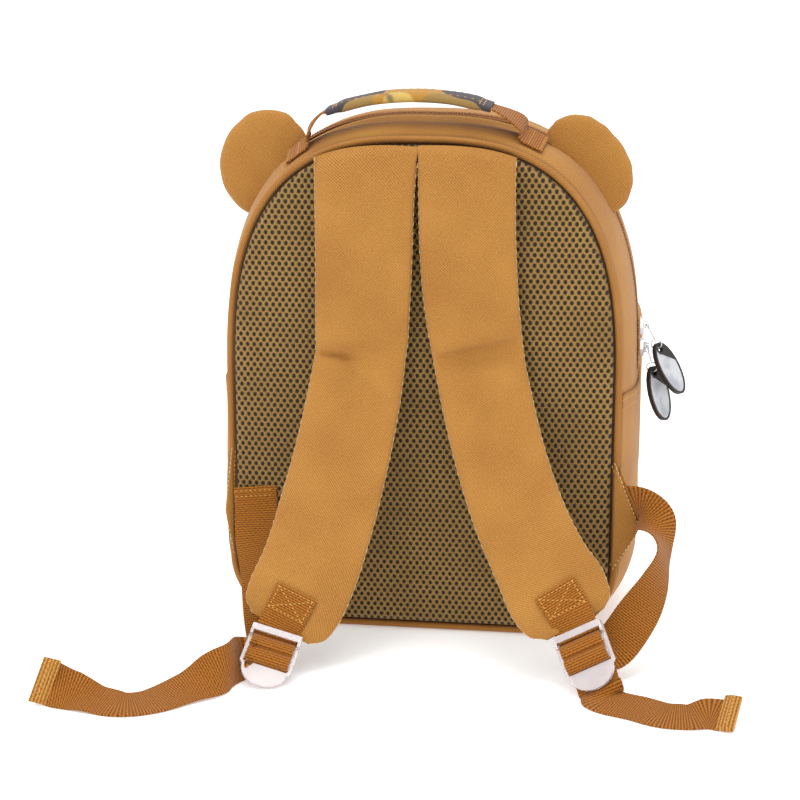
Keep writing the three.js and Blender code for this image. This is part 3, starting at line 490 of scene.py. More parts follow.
# %% [markdown]
# ## The gusset's bulge
#
# Filled bags stand out between their seams. The bulge could come from a cloth simulation with
# pressure; a profile over the depth gives it at once, flatter on the base, and lets the zip,
# the stitches, the pockets and the ears find the surface that they are sewn to.

# %% Profiles over the depth
# Share of the depth, and share of the bulge there.
gusset_table = [(0, 0), (0.12, 0.45), (0.26, 0.8), (0.48, 1), (0.74, 0.98), (0.9, 0.74),
                (0.97, 0.4), (1, -0.1)]
pocket_table = [(0, -0.6), (0.1, 0.4), (0.4, 1), (0.75, 0.8), (0.93, 0.2), (1, -0.7)]


def stand_at(table, place):
    """A smooth curve through a profile's rows."""
    p = min(max(place, 0.0), 1.0)
    k = max(1, next(i for i, row in enumerate(table) if row[0] >= p))
    a, b = table[k - 1], table[k]
    before, after = table[max(0, k - 2)], table[min(len(table) - 1, k + 1)]
    slope = lambda u, v: (v[1] - u[1]) / max(v[0] - u[0], 1e-6)
    w, step = (p - a[0]) / (b[0] - a[0]), b[0] - a[0]
    m1, m2 = slope(before, b) * step, slope(a, after) * step
    if k == len(table) - 1:
        m2 = slope(a, b) * step
    return (a[1] * (2 * w**3 - 3 * w**2 + 1) + m1 * (w**3 - 2 * w**2 + w)
            + b[1] * (3 * w**2 - 2 * w**3) + m2 * (w**3 - w**2))


def gusset_point(share, y, lift):
    """A place on the gusset, or lift millimetres off it, never under the floor."""
    x, z, nx, nz = panel_edge.at(share)
    stand = gusset_bulge * stand_at(gusset_table, (y - back_y) / body_depth)
    out = stand * (1 - (1 - base_share) * max(0.0, -nz)) + lift
    return vec(x + nx * out, y, max(z + nz * out, max(0.0, -lift)))


def gusset_normal(share, y):
    here = gusset_point(share, y, 0)
    beside = gusset_point(share, y + 1.5, 0) - here
    on = gusset_point(share + 0.002, y, 0) - here
    n = on.cross(beside).normalized()
    outward = vec(panel_edge.at(share)[2], 0, panel_edge.at(share)[3])
    return n if n.dot(outward) > 0 else -n


print("Gusset at half height:", round(gusset_point(panel_edge.share_at(145), 0, 0).x, 1), "mm out")

# %% [markdown]
# ## Finishes
#
# Weaves are small patterns worked out from each surface's own coordinates in metres, so a thread
# has the same size on every piece. A photographed cloth would repeat and need its file beside
# the model, so each pattern is a node group that gives a tone and a height; the material turns
# the tone into colour and the height into a bump.

# %% Node helpers


def rgb(code, gain=1.0):
    """A colour code as the linear values that a shader takes, darkened by the gain."""
    parts = [int(code[i:i + 2], 16) / 255 for i in (1, 3, 5)]
    linear = [p / 12.92 if p <= 0.04045 else ((p + 0.055) / 1.055) ** 2.4 for p in parts]
    return (*[min(1.0, p * gain) for p in linear], 1.0)


class Net:
    """Adds nodes to a tree; sockets among their inputs are linked and other values are set."""

    def __init__(self, tree):
        self.tree = tree

    def fill(self, node, inputs):
        for key, value in inputs.items():
            if isinstance(value, bpy.types.NodeSocket):
                self.tree.links.new(value, node.inputs[key])
            else:
                node.inputs[key].default_value = value
        return node

    def add(self, kind, inputs=None, **settings):
        n = self.tree.nodes.new(kind)
        for key, value in settings.items():
            setattr(n, key, value)
        return self.fill(n, inputs or {})

    def maths(self, operation, *values, clamp=False):
        n = self.add("ShaderNodeMath", dict(enumerate(values)), operation=operation,
                     use_clamp=clamp)
        return n.outputs[0]

    def wave(self, value, turns=1.0):
        return self.maths("SINE", self.maths("MULTIPLY", value, 2 * math.pi * turns))

    def span(self, value, low, high, to_low=0.0, to_high=1.0):
        n = self.add("ShaderNodeMapRange", {0: value, 1: low, 2: high, 3: to_low, 4: to_high},
                     interpolation_type="SMOOTHSTEP")
        return n.outputs[0]

    def noise(self, place, scale, detail):
        n = self.add("ShaderNodeTexNoise", {"Vector": place, "Scale": scale, "Detail": detail})
        return n.outputs["Fac"]

    def speckle(self, tone, noise, share):
        """Adds a share of a noise, taken about its middle, to a tone."""
        return self.maths("MULTIPLY_ADD", self.maths("SUBTRACT", noise, 0.5), share, tone)

    def blend(self, factor, a, b):
        n = self.add("ShaderNodeMix", {0: factor, 6: a, 7: b}, data_type="RGBA")
        return n.outputs[2]

    def split(self, place):
        return list(self.add("ShaderNodeSeparateXYZ", {0: place}).outputs)

    def moved(self, place, by):
        return self.add("ShaderNodeVectorMath", {0: place, 1: by}, operation="ADD").outputs[0]

    def scaled(self, colour, factor):
        n = self.add("ShaderNodeVectorMath", {0: colour, 3: factor}, operation="SCALE")
        return n.outputs[0]

    def relief(self, height, strength, distance):
        n = self.add("ShaderNodeBump", {"Strength": strength, "Distance": distance,
                                        "Height": height})
        return n.outputs[0]

    def group(self, tree, place):
        return self.add("ShaderNodeGroup", {"Place": place}, node_tree=tree).outputs

    def object_place(self):
        return self.add("ShaderNodeTexCoord").outputs["Object"]

    def uv_place(self):
        return self.add("ShaderNodeTexCoord").outputs["UV"]


def pattern(name, outputs, build):
    """A node group from a place in metres to the named values."""
    tree = bpy.data.node_groups.new(name, "ShaderNodeTree")
    tree.interface.new_socket("Place", in_out="INPUT", socket_type="NodeSocketVector")
    for o in outputs:
        tree.interface.new_socket(o, in_out="OUTPUT", socket_type="NodeSocketFloat")
    net = Net(tree)
    place = net.add("NodeGroupInput").outputs[0]
    made = build(net, place)
    out = net.add("NodeGroupOutput")
    for k, value in enumerate(made):
        tree.links.new(value, out.inputs[k])
    return tree


# %% [markdown]
# ## Weaves and mesh
#
# Twill shows fine slanting ribs, webbing shows coarse ribs across with a fine check between
# them, and spacer mesh shows rows of small oval holes, each row half a hole further on. Real
# threads would take millions of faces, so waves and rounded distances stand for them.

# %% Twill
twill_pitch = 0.00082


def twill_pattern(net, place):
    u, v = net.split(place)[:2]
    rib = net.wave(net.maths("DIVIDE", net.maths("ADD", u, v), twill_pitch), 0.5)
    warp = net.wave(net.maths("DIVIDE", net.maths("SUBTRACT", u, v), twill_pitch), 0.33)
    height = net.maths("MULTIPLY_ADD", net.maths("MULTIPLY_ADD", warp, 0.3, rib), 0.35, 0.5)
    tone = net.maths("MULTIPLY_ADD", rib, 0.2, 0.5)
    tone = net.maths("MULTIPLY_ADD", warp, 0.03, tone)
    tone = net.speckle(tone, net.noise(place, 900.0, 1.0), 0.55)
    tone = net.speckle(tone, net.noise(place, 22.0, 3.0), 0.7)
    return tone, height


twill_group = pattern("twill_weave", ("Tone", "Height"), twill_pattern)
print("Twill ribs every", twill_pitch / mm, "mm")

# %% Webbing
rib_pitch, check_pitch = 0.0027, 0.0026


def webbing_pattern(net, place):
    u, v = net.split(place)[:2]
    row = net.maths("DIVIDE", v, rib_pitch)
    check = net.maths("MULTIPLY", net.wave(row), net.wave(net.maths("DIVIDE", u, check_pitch)))
    rib = net.wave(row, 2.0)
    height = net.maths("MULTIPLY_ADD", rib, 0.4, 0.5)
    height = net.maths("MULTIPLY_ADD", check, 0.12, height)
    tone = net.maths("MULTIPLY_ADD", check, 0.16, 0.52)
    tone = net.maths("MULTIPLY_ADD", rib, 0.36, tone)
    tone = net.speckle(tone, net.noise(place, 700.0, 1.0), 0.5)
    return tone, height


webbing_group = pattern("webbing_weave", ("Tone", "Height"), webbing_pattern)
print("Webbing ribs every", rib_pitch / 2 / mm, "mm")

# %% Spacer mesh
cell_wide, cell_high = 0.0039, 0.00300
hole_wide, hole_high = 0.00106, 0.00132


def mesh_pattern(net, place):
    u, v = net.split(place)[:2]
    row = net.maths("FLOOR", net.maths("DIVIDE", v, cell_high))
    odd = net.maths("MULTIPLY", net.maths("FLOORED_MODULO", row, 2.0), 0.5)
    fu = net.maths("FRACT", net.maths("ADD", net.maths("DIVIDE", u, cell_wide), odd))
    fv = net.maths("FRACT", net.maths("DIVIDE", v, cell_high))
    x = net.maths("MULTIPLY", net.maths("SUBTRACT", fu, 0.5), cell_wide / hole_wide)
    y = net.maths("MULTIPLY", net.maths("SUBTRACT", fv, 0.5), cell_high / hole_high)
    square = net.maths("ADD", net.maths("MULTIPLY", x, x), net.maths("MULTIPLY", y, y))
    wobble = net.maths("MULTIPLY_ADD", net.noise(place, 520.0, 2.0), 0.34, -0.17)
    reach = net.maths("ADD", net.maths("SQRT", square), wobble)
    hole = net.span(reach, 0.82, 1.12, 1.0, 0.0)
    height = net.span(reach, 0.7, 1.5)
    tone = net.speckle(0.5, net.noise(place, 1500.0, 2.0), 1.2)
    tone = net.speckle(tone, net.noise(place, 30.0, 2.0), 0.6)
    return hole, height, tone


mesh_group = pattern("air_mesh", ("Hole", "Height", "Tone"), mesh_pattern)
print("Mesh holes every", cell_wide / mm, "mm along and", cell_high / mm, "mm up")

# %% [markdown]
# ## Cloth materials
#
# All the tan cloths share one weave and differ in their two colours, as cloths dyed in one
# batch do. Cloth scatters light at grazing angles, which a little sheen gives, and it has no
# bright highlight, so its specular level is low.

# %% Woven cloths
cloth_gain = 0.66  # darkens the colour codes, which are read under the studio's strong light
twill_tones = "#A06122", "#E6A852"


def new_material(name):
    m = bpy.data.materials.new(name)
    m.use_nodes = True
    return m, Net(m.node_tree), m.node_tree.nodes["Principled BSDF"]


def woven(name, group, dark, light, depth=0.00012, mapped=True):
    """A woven material; an unmapped piece takes its weave from the object's X and Z."""
    m, net, shader = new_material(name)
    if mapped:
        place = net.uv_place()
    else:
        x, y, z = net.split(net.object_place())
        place = net.add("ShaderNodeCombineXYZ", {0: x, 1: z, 2: y}).outputs[0]
    weave = net.group(group, place)
    tone = net.maths("MULTIPLY", weave["Tone"], 1.0, clamp=True)
    net.fill(shader, {
        "Base Color": net.blend(tone, rgb(dark, cloth_gain), rgb(light, cloth_gain)),
        "Normal": net.relief(weave["Height"], 0.55, depth),
        "Roughness": 0.86, "Sheen Weight": 0.12, "Sheen Roughness": 0.5,
        "Specular IOR Level": 0.25})
    return m


twill = woven("twill", twill_group, *twill_tones)
twill_with_painted_shade = woven("twill_with_painted_shade", twill_group, *twill_tones)
twill_flat = woven("twill_flat", twill_group, *twill_tones, mapped=False)
piping_cloth = woven("piping_cloth", twill_group, "#9A5C22", "#D8994A")
webbing = woven("webbing", webbing_group, "#66340A", "#DA8824", depth=0.0005)
# A lighter copy of the webbing: a painted highlight on the rolled hems.
webbing_light = woven("webbing_light", webbing_group, "#8A4E18", "#F0AE50", depth=0.0004)
tape = woven("zip_tape", twill_group, "#8C5420", "#BE7E3A")
print("Woven cloths made")

# %% Painted shade by the piped seam
painted_shade_reach = 7.5  # how far the shade reaches from the seam


def darken_as_painted_shade(m):
    """Painted shade where the piping shades the cloth by its seam; the needle holes add to it."""
    net = Net(m.node_tree)
    shader = m.node_tree.nodes["Principled BSDF"]
    depth = net.split(net.uv_place())[1]
    # Painted shade: the colour is scaled from 0.35 at the seam up to full a few millimetres away.
    shade = net.span(depth, rim_y * mm, (rim_y + painted_shade_reach) * mm, 0.35, 1.0)
    colour = shader.inputs["Base Color"].links[0].from_socket
    net.fill(shader, {"Base Color": net.scaled(colour, shade)})


darken_as_painted_shade(twill_with_painted_shade)
print("Seam shade over", painted_shade_reach, "mm")

# %% Air mesh


def air_mesh_material():
    """Tan threads round dark holes that look through to the foam's shadow."""
    m, net, shader = new_material("air_mesh")
    cells = net.group(mesh_group, net.uv_place())
    tone = net.maths("MULTIPLY", cells["Tone"], 1.0, clamp=True)
    threads = net.blend(tone, rgb("#785418", cloth_gain), rgb("#D2A860", cloth_gain))
    net.fill(shader, {
        "Base Color": net.blend(cells["Hole"], threads, rgb("#2A1C06")),
        "Normal": net.relief(cells["Height"], 0.9, 0.0009),
        "Roughness": 0.8, "Sheen Weight": 0.1, "Specular IOR Level": 0.3})
    return m


air_mesh = air_mesh_material()
print("Air mesh made")

# %% [markdown]
# ## Printed cloth
#
# The handle is covered in cloth printed in soft-edged blotches. A print could be painted as a
# picture; here each colour is laid on where a smooth noise passes a level, which gives shapes
# of a like scale that belong to no one.

# %% Print
# Where the noise is read, its scale, the level where the colour begins and is full, the colour.
blotches = [
    ((0.0, 0.0, 0.0), 21.0, 0.50, 0.53, rgb("#C8902E", cloth_gain)),
    ((0.31, 0.17, 0.0), 26.0, 0.60, 0.62, rgb("#E2BE62", cloth_gain)),
    ((0.77, 0.42, 0.0), 30.0, 0.565, 0.58, rgb("#3A3238"))]


def print_material():
    m, net, shader = new_material("print_cloth")
    place = net.uv_place()
    colour = rgb("#AC8846", cloth_gain)
    for shift, scale, low, high, dye in blotches:
        level = net.noise(net.moved(place, shift), scale, 0.0)
        colour = net.blend(net.span(level, low, high), colour, dye)
    weave = net.group(twill_group, place)
    shade = net.maths("MULTIPLY_ADD", weave["Tone"], 0.5, 0.75)
    net.fill(shader, {
        "Base Color": net.scaled(colour, shade),
        "Normal": net.relief(weave["Height"], 0.4, 0.0001),
        "Roughness": 0.8, "Sheen Weight": 0.08})
    return m


print_cloth = print_material()
print("Colours in the print:", len(blotches) + 1)

# %% [markdown]
# ## Thread, plastic, rubber and metal
#
# Sewing thread catches the light a little more than cloth. The zip's coil, the buckles and the
# pulls are mouldings, whose surface is even but never perfect: a slow noise moves the colour
# and the roughness a little and a fine one gives a grain. The buckles are milky and let light
# in, which takes both transmission and subsurface.

# %% Thread


def thread_material(name, colour):
    m, net, shader = new_material(name)
    tone = net.span(net.noise(net.object_place(), 1400.0, 2.0), 0.35, 0.65)
    net.fill(shader, {"Base Color": net.blend(tone, rgb(colour, 0.72), rgb(colour)),
                      "Roughness": 0.55, "Sheen Weight": 0.2})
    return m


thread = thread_material("thread", "#E8B04A")
pale_thread = thread_material("pale_thread", "#F2DC9A")
edge_cream = thread_material("edge_cream", "#D6C088")
edge_binding = thread_material("edge_binding", "#B98038")
print("Threads made")

# %% Mouldings and metal


def moulded(name, dark, light, roughness, **settings):
    m, net, shader = new_material(name)
    place = net.object_place()
    tone = net.span(net.noise(place, 90.0, 3.0), 0.35, 0.65)
    rough = net.span(net.noise(place, 160.0, 3.0), 0.3, 0.7, roughness * 0.85, roughness * 1.15)
    net.fill(shader, {
        "Base Color": net.blend(tone, rgb(dark), rgb(light)),
        "Roughness": rough,
        "Normal": net.relief(net.noise(place, 2600.0, 2.0), 0.15, 0.00005)})
    net.fill(shader, {key.replace("_", " "): value for key, value in settings.items()})
    return m


coil = moulded("coil", "#8A4E20", "#A8662C", 0.42)
clear_plastic = moulded("clear_plastic", "#F0E6E6", "#F6EEEE", 0.22, Coat_Weight=0.3,
                        Transmission_Weight=0.55, Subsurface_Weight=0.2,
                        Subsurface_Radius=(0.004, 0.003, 0.003))
rubber = moulded("rubber", "#1E1A1A", "#2C2626", 0.5)
rubber_face = moulded("rubber_face", "#A2A4AA", "#C2C4C8", 0.4)
steel = moulded("plated_steel", "#B8B8BC", "#DCDCE0", 0.2, Metallic=1.0)
print("Materials:", len(bpy.data.materials))

# %% [markdown]
# ## Back panel
#
# The panel is a foam pad faced with spacer mesh. It is compressed where it is sewn into the
# piped seam, so its edge rolls back within a few millimetres, and it crowns a little in the
# middle. A pressure simulation would swell it evenly; rings drawn in from the edge also keep
# the mesh's rows straight, because the weave takes its coordinates from the panel's own plane.

# %% Back panel
bag_middle_z = (panel_high + panel_low) / 2
# Depth of each rolled ring behind the panel's face, and how far it lies in from the edge.
panel_roll = [(4.4, 0.0), (2.6, 0.3), (1.2, 1.1), (0.4, 2.2), (0.0, 3.6)]


def back_panel():
    inset = -(piping_radius - seam_gap)
    rows = [(rim_y - seam_gap, 0.0)] + [(panel_face_y + y, inward) for y, inward in panel_roll]
    sections = [[vec(x + nx * (inset - inward), y, z + nz * (inset - inward))
                 for x, z, nx, nz in ring_at] for y, inward in rows]

    def crowned(at, share):
        swell = panel_crown * (1 - (1 - share) ** 2.4)
        return panel_face_y - swell - 0.45 * wander(at.x, 0, at.z, 46) * smooth(0, 0.2, share)

    middle = vec(0, panel_face_y - panel_crown, bag_middle_z)
    sections += filled(sections[-1], middle, 26, 1.25, crowned)
    piece = keep("air_mesh_back_panel", loft(sections, from_behind(sections)), air_mesh)
    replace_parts(piece, "back_panel")
    return piece


print("Back panel:", len(back_panel().data.polygons), "faces")

# %% [markdown]
# ## Piping
#
# Piping is a strip of bias-cut cloth wrapped round a cord and sewn into the seam. A curve with
# a round bevel would be quicker, but a grid closed both ways has coordinates that run along
# and round the cord, so the cloth's weave follows it.

# %% Piping


def piping():
    out = piping_radius - seam_gap / 2
    sides = 14
    sections = []
    for x, z, nx, nz in ring_at:
        r = piping_radius * (1 + 0.03 * wander(x, 7, z, 9))
        turns = [i / sides * 2 * math.pi for i in range(sides)]
        sections.append([vec(x + nx * (out + r * math.cos(a)), piping_y + r * math.sin(a),
                             z + nz * (out + r * math.cos(a))) for a in turns])
    step = panel_edge.total / around
    girth = 2 * math.pi * piping_radius / sides
    bm = loft(sections, lambda i, k: (i * girth, k * step), loop=True)
    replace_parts(keep("seam_piping", bm, piping_cloth), "back_piping")


piping()
print("Piping:", round(panel_edge.total), "mm long")

# %% [markdown]
# ## Gusset
#
# The gusset is one long strip of foam-backed twill that runs round the bag. It bulges out past
# the seams and stands flat on its base, and its cloth sinks in a soft fold between the piped
# seam and the zip over the top. The rows of the grid lie closer together by the seams and the
# zip, where the cloth turns, than in between. The zip's slot is cut out of the grid, and a
# Solidify modifier gives the cloth its thickness after that, so the slot has real edges.

# %% Gusset
zip_from = panel_edge.share_at(zip_end_height)
slot_half = zip_width / 2 + seam_gap
gusset_rows = [
    rim_y, -45.5, -44.2, -42.5, -40.5, -38.2, -35.8, -33.2, -30.6, -28, -25.4, -22.8, -20.2,
    -17.6, -15, -12.4, -10, -8, -6.4, -slot_half, slot_half, 6.4, 8, 11, 14.5, 18, 21.5, 25,
    28.5, 32, 35, 38, 40.5, 43, 45, 46.6, 47.8, 48.8, 49.5, front_y]
seam_dip, fold_depth, ridge_rise = 2.4, 3.2, 1.1


def gusset_fold(share, y):
    """How far the cloth sinks or swells from its even shape."""
    x, z, nx, nz = panel_edge.at(share)
    over = smooth(0.35, 0.8, nz)
    valley = fold_depth * bump(y, -15 + 0.0012 * x * x, 7.5) * over * smooth(95, 40, abs(x + 6))
    ridge = ridge_rise * bump(y, -33, 9) * over * smooth(100, 55, abs(x))
    swell = 0.7 * wander(x, y, z, 52) + 0.3 * wander(x + 31, y, z, 21)
    near_seam = smooth(rim_y, rim_y + 9, y) * smooth(front_y, front_y - 8, y)
    near_zip = 1 - 0.8 * bump(y, zip_y, 7)
    return (swell * near_zip - valley + ridge) * near_seam


def cut_out(bm, inside):
    """Deletes the faces whose middle, in millimetres, lies inside."""
    faces = [f for f in bm.faces if inside(f.calc_center_median() / mm)]
    bmesh.ops.delete(bm, geom=faces, context="FACES")
    return len(faces)


def gusset():
    sections = []
    for y in gusset_rows:
        ring = []
        for i, (x, z, nx, nz) in enumerate(ring_at):
            lift = gusset_fold(i / around, y) if nz > -0.9 else 0.0
            lift -= seam_dip * smooth(rim_y + 3.4, rim_y, y) * smooth(-0.7, -0.2, nz)
            ring.append(gusset_point(i / around, y, lift))
        sections.append(ring)
    step = panel_edge.total / around
    bm = loft(sections, lambda i, k: (i * step, gusset_rows[k]))
    faces = cut_out(bm, lambda at: abs(at.y - zip_y) < slot_half and at.z > zip_end_height)
    # The gusset's cloth carries the painted shade along the piped seam.
    piece = keep("gusset", bm, twill_with_painted_shade)
    solidify(piece, cloth_wall)
    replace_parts(piece, "body_shell")
    return faces


print("Faces cut for the zip:", gusset())

# %% [markdown]
# ## Front wall
#
# The front is not seen in the photograph. It is made as such bags have it, a single crowned
# panel of the same cloth, drawn in from the gusset's front edge as the back panel is.

# %% Front wall
wall_crown = 1.0


def front_wall():
    rim = [gusset_point(i / around, front_y, 0.0) for i in range(around)]

    def crowned(at, share):
        swell = 0.5 * wander(at.x, 3, at.z, 60) * smooth(0, 0.2, share)
        return front_y + wall_crown * (1 - (1 - share) ** 3) + swell

    middle = vec(0, front_y + wall_crown, bag_middle_z)
    sections = [rim] + filled(rim, middle, 21, 1.3, crowned)
    piece = keep("body_front_wall", loft(sections, from_behind(sections)), twill)
    solidify(piece, cloth_wall)
    return piece


print("Front wall:", len(front_wall().data.polygons), "faces")

# %% [markdown]
# ## Main zip
#
# A coil zip: two woven tapes with a nylon coil along their edges, seen as a row of small
# rounded teeth. The coil could be one long spring, but at this size only the teeth's rhythm
# shows, so each is a bead of a few faces, set a little to either side in turn. The gusset's
# edges are turned and stitched down beside it.

# %% Zip tape and teeth
tooth_pitch, tooth_size = 1.45, (3.5, 1.15, 1.2)
tape_thick, tape_sink = 0.5, 0.7
tooth_lift, tooth_shift = 0.25, 0.35


def zip_band(name, total, point, start, node, count):
    """The tape, laid on a surface from one share of its edge to the mirrored one."""
    reach = zip_width / 2
    ys = [-reach, -reach / 2, 0.0, reach / 2, reach]
    run = 1 - 2 * start
    sections = [[point(start + k / count * run, y, -tape_sink) for y in ys]
                for k in range(count + 1)]
    bm = loft(sections, lambda i, k: (ys[i], k * run * total / count), closed=False)
    piece = keep(name, bm, tape)
    solidify(piece, tape_thick, 0.0)
    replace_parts(piece, node)


def teeth(name, total, point, start):
    frames = []
    run = 1 - 2 * start
    count = int(run * total / tooth_pitch)
    for k in range(count):
        share = start + (k + 0.5) / count * run
        a, b = point(share, -1.0, tooth_lift), point(share, 1.0, tooth_lift)
        ahead = point(share + 0.0005, 0.0, tooth_lift)
        across = (b - a).normalized()
        middle = (a + b) / 2 + across * (tooth_shift if k % 2 else -tooth_shift)
        along = ahead - (a + b) / 2
        along = (along - across * along.dot(across)).normalized()
        frames.append((middle, across, along))
    beads(name, frames, tooth_size, coil)
    return count


def on_main_zip(share, y, lift):
    return gusset_point(share, zip_y + y, lift)


zip_band("main_zip_tape", panel_edge.total, on_main_zip, zip_from, "main_zip", 200)
print("Teeth:", teeth("main_zip_coil", panel_edge.total, on_main_zip, zip_from))

# %% Stitches beside the zip
zip_stitch_rows, zip_stitch_pitch = (-7.3, 7.3), 3.2


def zip_stitches():
    frames, count, each = [], 400, 8  # places along each row, and places to a normal
    for y in zip_stitch_rows:
        shares = [zip_from + k / count * (1 - 2 * zip_from) for k in range(count + 1)]
        line = [gusset_point(s, y, gusset_fold(s, y) + 0.12) for s in shares]
        normals = [gusset_normal(s, y) for s in shares[::each]]
        normal = lambda k: normals[min(k // each, len(normals) - 1)]
        frames += stitches(line, zip_stitch_pitch, normal)
    beads("zip_topstitching", frames, (2.1, 0.5, 0.34), thread)
    return len(frames)


print("Stitches by the zip:", zip_stitches())

# %% [markdown]
# ## Front pocket
#
# A shallow boxed pocket with its own short zip over the top. Its wall bulges a little at the
# side and crowns at the front; only its edge shows from behind. It is a small bag on the bag,
# so it is made as the body is, with an edge and a profile of its own.

# %% Front pocket's shape
pocket_y, pocket_depth, pocket_bulge, pocket_crown = 51.3, 38.0, 5.0, 4.0
pocket_front_y = pocket_y + pocket_depth
pocket_zip_y, pocket_zip_half = 68.4, 95.0
pocket_from = pocket_edge.share_across(pocket_zip_half)
print("Edge of the front pocket:", round(pocket_edge.total), "mm")
pocket_rows = [
    pocket_y, 52.6, 54.2, 56.2, 58.6, 61.2, pocket_zip_y - slot_half, pocket_zip_y + slot_half,
    75.6, 78.4, 81.0, 83.2, 85.0, 86.6, 87.8, 88.7, pocket_front_y]


def pocket_point(share, y, lift):
    x, z, nx, nz = pocket_edge.at(share)
    out = pocket_bulge * stand_at(pocket_table, (y - pocket_y) / pocket_depth) + lift
    return vec(x + nx * out, y, z + nz * out)


def on_pocket_zip(share, y, lift):
    return pocket_point(share, pocket_zip_y + y, lift)


# %% Front pocket


def front_pocket():
    sections = []
    for y in pocket_rows:
        soft = smooth(pocket_y, pocket_y + 6, y) * smooth(pocket_front_y, 84, y)
        soft *= 1 - bump(y, pocket_zip_y, 6)
        ring = []
        for i in range(around):
            x, z, nx, nz = pocket_edge.at(i / around)
            lift = 0.6 * wander(x, y, z, 38) * soft * smooth(0.9, 0.4, -nz)
            ring.append(pocket_point(i / around, y, lift))
        sections.append(ring)

    def crowned(at, share):
        swell = 0.9 * wander(at.x, 40, at.z, 55) * smooth(0, 0.25, share) * (1 - share)
        return pocket_front_y + pocket_crown * (1 - (1 - share) ** 2.6) + swell

    sections += filled(sections[-1], vec(0, pocket_front_y, bag_middle_z), 21, 1.3, crowned)
    step, flat = pocket_edge.total / around, from_behind(sections)
    wall = len(pocket_rows)
    bm = loft(sections, lambda i, k: (i * step, pocket_rows[k]) if k < wall else flat(i, k))
    cut_out(bm, lambda at: abs(at.y - pocket_zip_y) < slot_half and at.z > 150
            and abs(at.x) < pocket_zip_half)
    piece = keep("front_pocket_cloth", bm, twill)
    solidify(piece, cloth_wall)
    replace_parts(piece, "front_pocket")


front_pocket()
zip_band("front_pocket_zip_tape", pocket_edge.total, on_pocket_zip, pocket_from,
         "front_pocket_zip", 60)
print("Pocket teeth:", teeth("front_pocket_coil", pocket_edge.total, on_pocket_zip, pocket_from))

# %% [markdown]
# ## Side pockets
#
# A flat cloth pocket on each side of the gusset, open at the top, where its edge is turned over
# and stitched twice. The cloth stands a little off the gusset and droops between its ends. A
# cloth simulation would find that droop by itself; here it is a ramp of two millimetres, which
# is quicker and lets the stitches read their places from the same rows.

# %% Side pockets
pocket_low, pocket_wide, pocket_from_back = 16.0, 91.0, 5.0
pocket_steps_up, pocket_steps_along = 46, 40
pocket_stand, hem_stand, pocket_droop = 1.7, 0.4, 2.2
hem_rows = 2.2, 8.6


def side_pocket(side, word):
    rise = side_pocket_top - pocket_low
    heights = [pocket_low + rise * k / pocket_steps_up for k in range(pocket_steps_up + 1)]
    ys = [back_y + pocket_from_back + pocket_wide * i / pocket_steps_along
          for i in range(pocket_steps_along + 1)]
    sections = []
    for h in heights:
        share = panel_edge.share_at(h)
        slack = smooth(60, side_pocket_top, h)
        stand = pocket_stand + hem_stand * smooth(side_pocket_top - 9.5, side_pocket_top - 7.5, h)
        row = []
        for y in ys:
            inside = smooth(0, 10, y - ys[0]) * smooth(0, 10, ys[-1] - y)
            swell = inside * (0.6 * wander(side * 40, y, h, 40) - 0.6 * slack)
            at = gusset_point(share, y, stand + swell)
            sag = smooth(0, 40, min(y - ys[0], ys[-1] - y)) * smooth(100, side_pocket_top, h)
            row.append(vec(side * at.x, y, at.z - pocket_droop * sag))
        sections.append(row)
    bm = facing(loft(sections, lambda i, k: (ys[i], heights[k]), closed=False), vec(side, 0, 0))
    piece = keep("side_pocket_cloth_" + word, bm, twill)
    solidify(piece, 1.1)
    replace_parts(piece, "side_pocket_" + word)
    frames = []
    for down in hem_rows:
        k = min(range(len(heights)), key=lambda j: abs(heights[j] - side_pocket_top + down))
        line = [p + vec(side * 0.12, 0, 0) for p in sections[k]]
        frames += stitches(line, 3.4, lambda j: vec(side, 0, 0))
    sewn = beads("side_pocket_stitches_" + word, frames, (2.2, 0.55, 0.4), thread)
    middle = [row[len(row) // 2] for row in sections]
    drop = sum((b - a).length for a, b in zip(middle, middle[1:]))
    return drop


for side, word in ((1, "right"), (-1, "left")):
    print("Side pocket", word, "is cut", round(side_pocket(side, word), 1), "mm long")

# %% [markdown]
# ## Ears
#
# Two round pads sewn into the seam. Each is a thin cushion: its middle is full and its edge is
# a turned seam. A squashed sphere would have a thick, even edge, so each face is a stack of
# rings that swells fast from the seam, and the cut is a table of reaches round the pad,
# because hand-filled pads are never quite round.

# %% Ears' outline
ear_radius, ear_half, ear_edge, ear_count = 31.5, 4.6, 1.1, 96
ear_rings = 16
# Angle from +X and reach as a share of the radius.
ear_outline = {
    -1: [(20, .89), (32, .87), (53, .92), (71, 1), (90, 1), (109, 1), (129, .95), (161, .93),
         (188, .95), (215, .99), (242, 1.03), (300, 1), (350, .92)],
    1: [(2, .93), (24, .88), (48, .87), (68, .93), (85, 1), (102, 1.03), (117, 1.02), (127, .97),
        (139, .9), (200, .95), (297, .95), (311, 1), (323, 1.02), (342, .98)]}


def ear_reach(table, angle):
    rows = [(table[-1][0] - 360, table[-1][1])] + table + [(table[0][0] + 360, table[0][1])]
    k = next(i for i, row in enumerate(rows) if row[0] > angle % 360 + 1e-9)
    (a, low), (b, high) = rows[k - 1], rows[k]
    return low + (high - low) * smooth(a, b, angle % 360)


def off_body(p):
    """Moves a place that lies deep in the bag out to just under the gusset's surface."""
    best = min(range(around), key=lambda i: math.dist((p.x, p.z), ring_at[i][:2]))
    x, z, nx, nz = ring_at[best]
    surface = gusset_point(best / around, p.y, -1.0)
    need = (surface.x - x) * nx + (surface.z - z) * nz
    have = (p.x - x) * nx + (p.z - z) * nz
    return p + vec(nx, 0, nz) * max(0.0, need - have)


print("The right ear reaches", round(ear_radius * ear_reach(ear_outline[1], 90), 1), "mm up")

# %% Ears


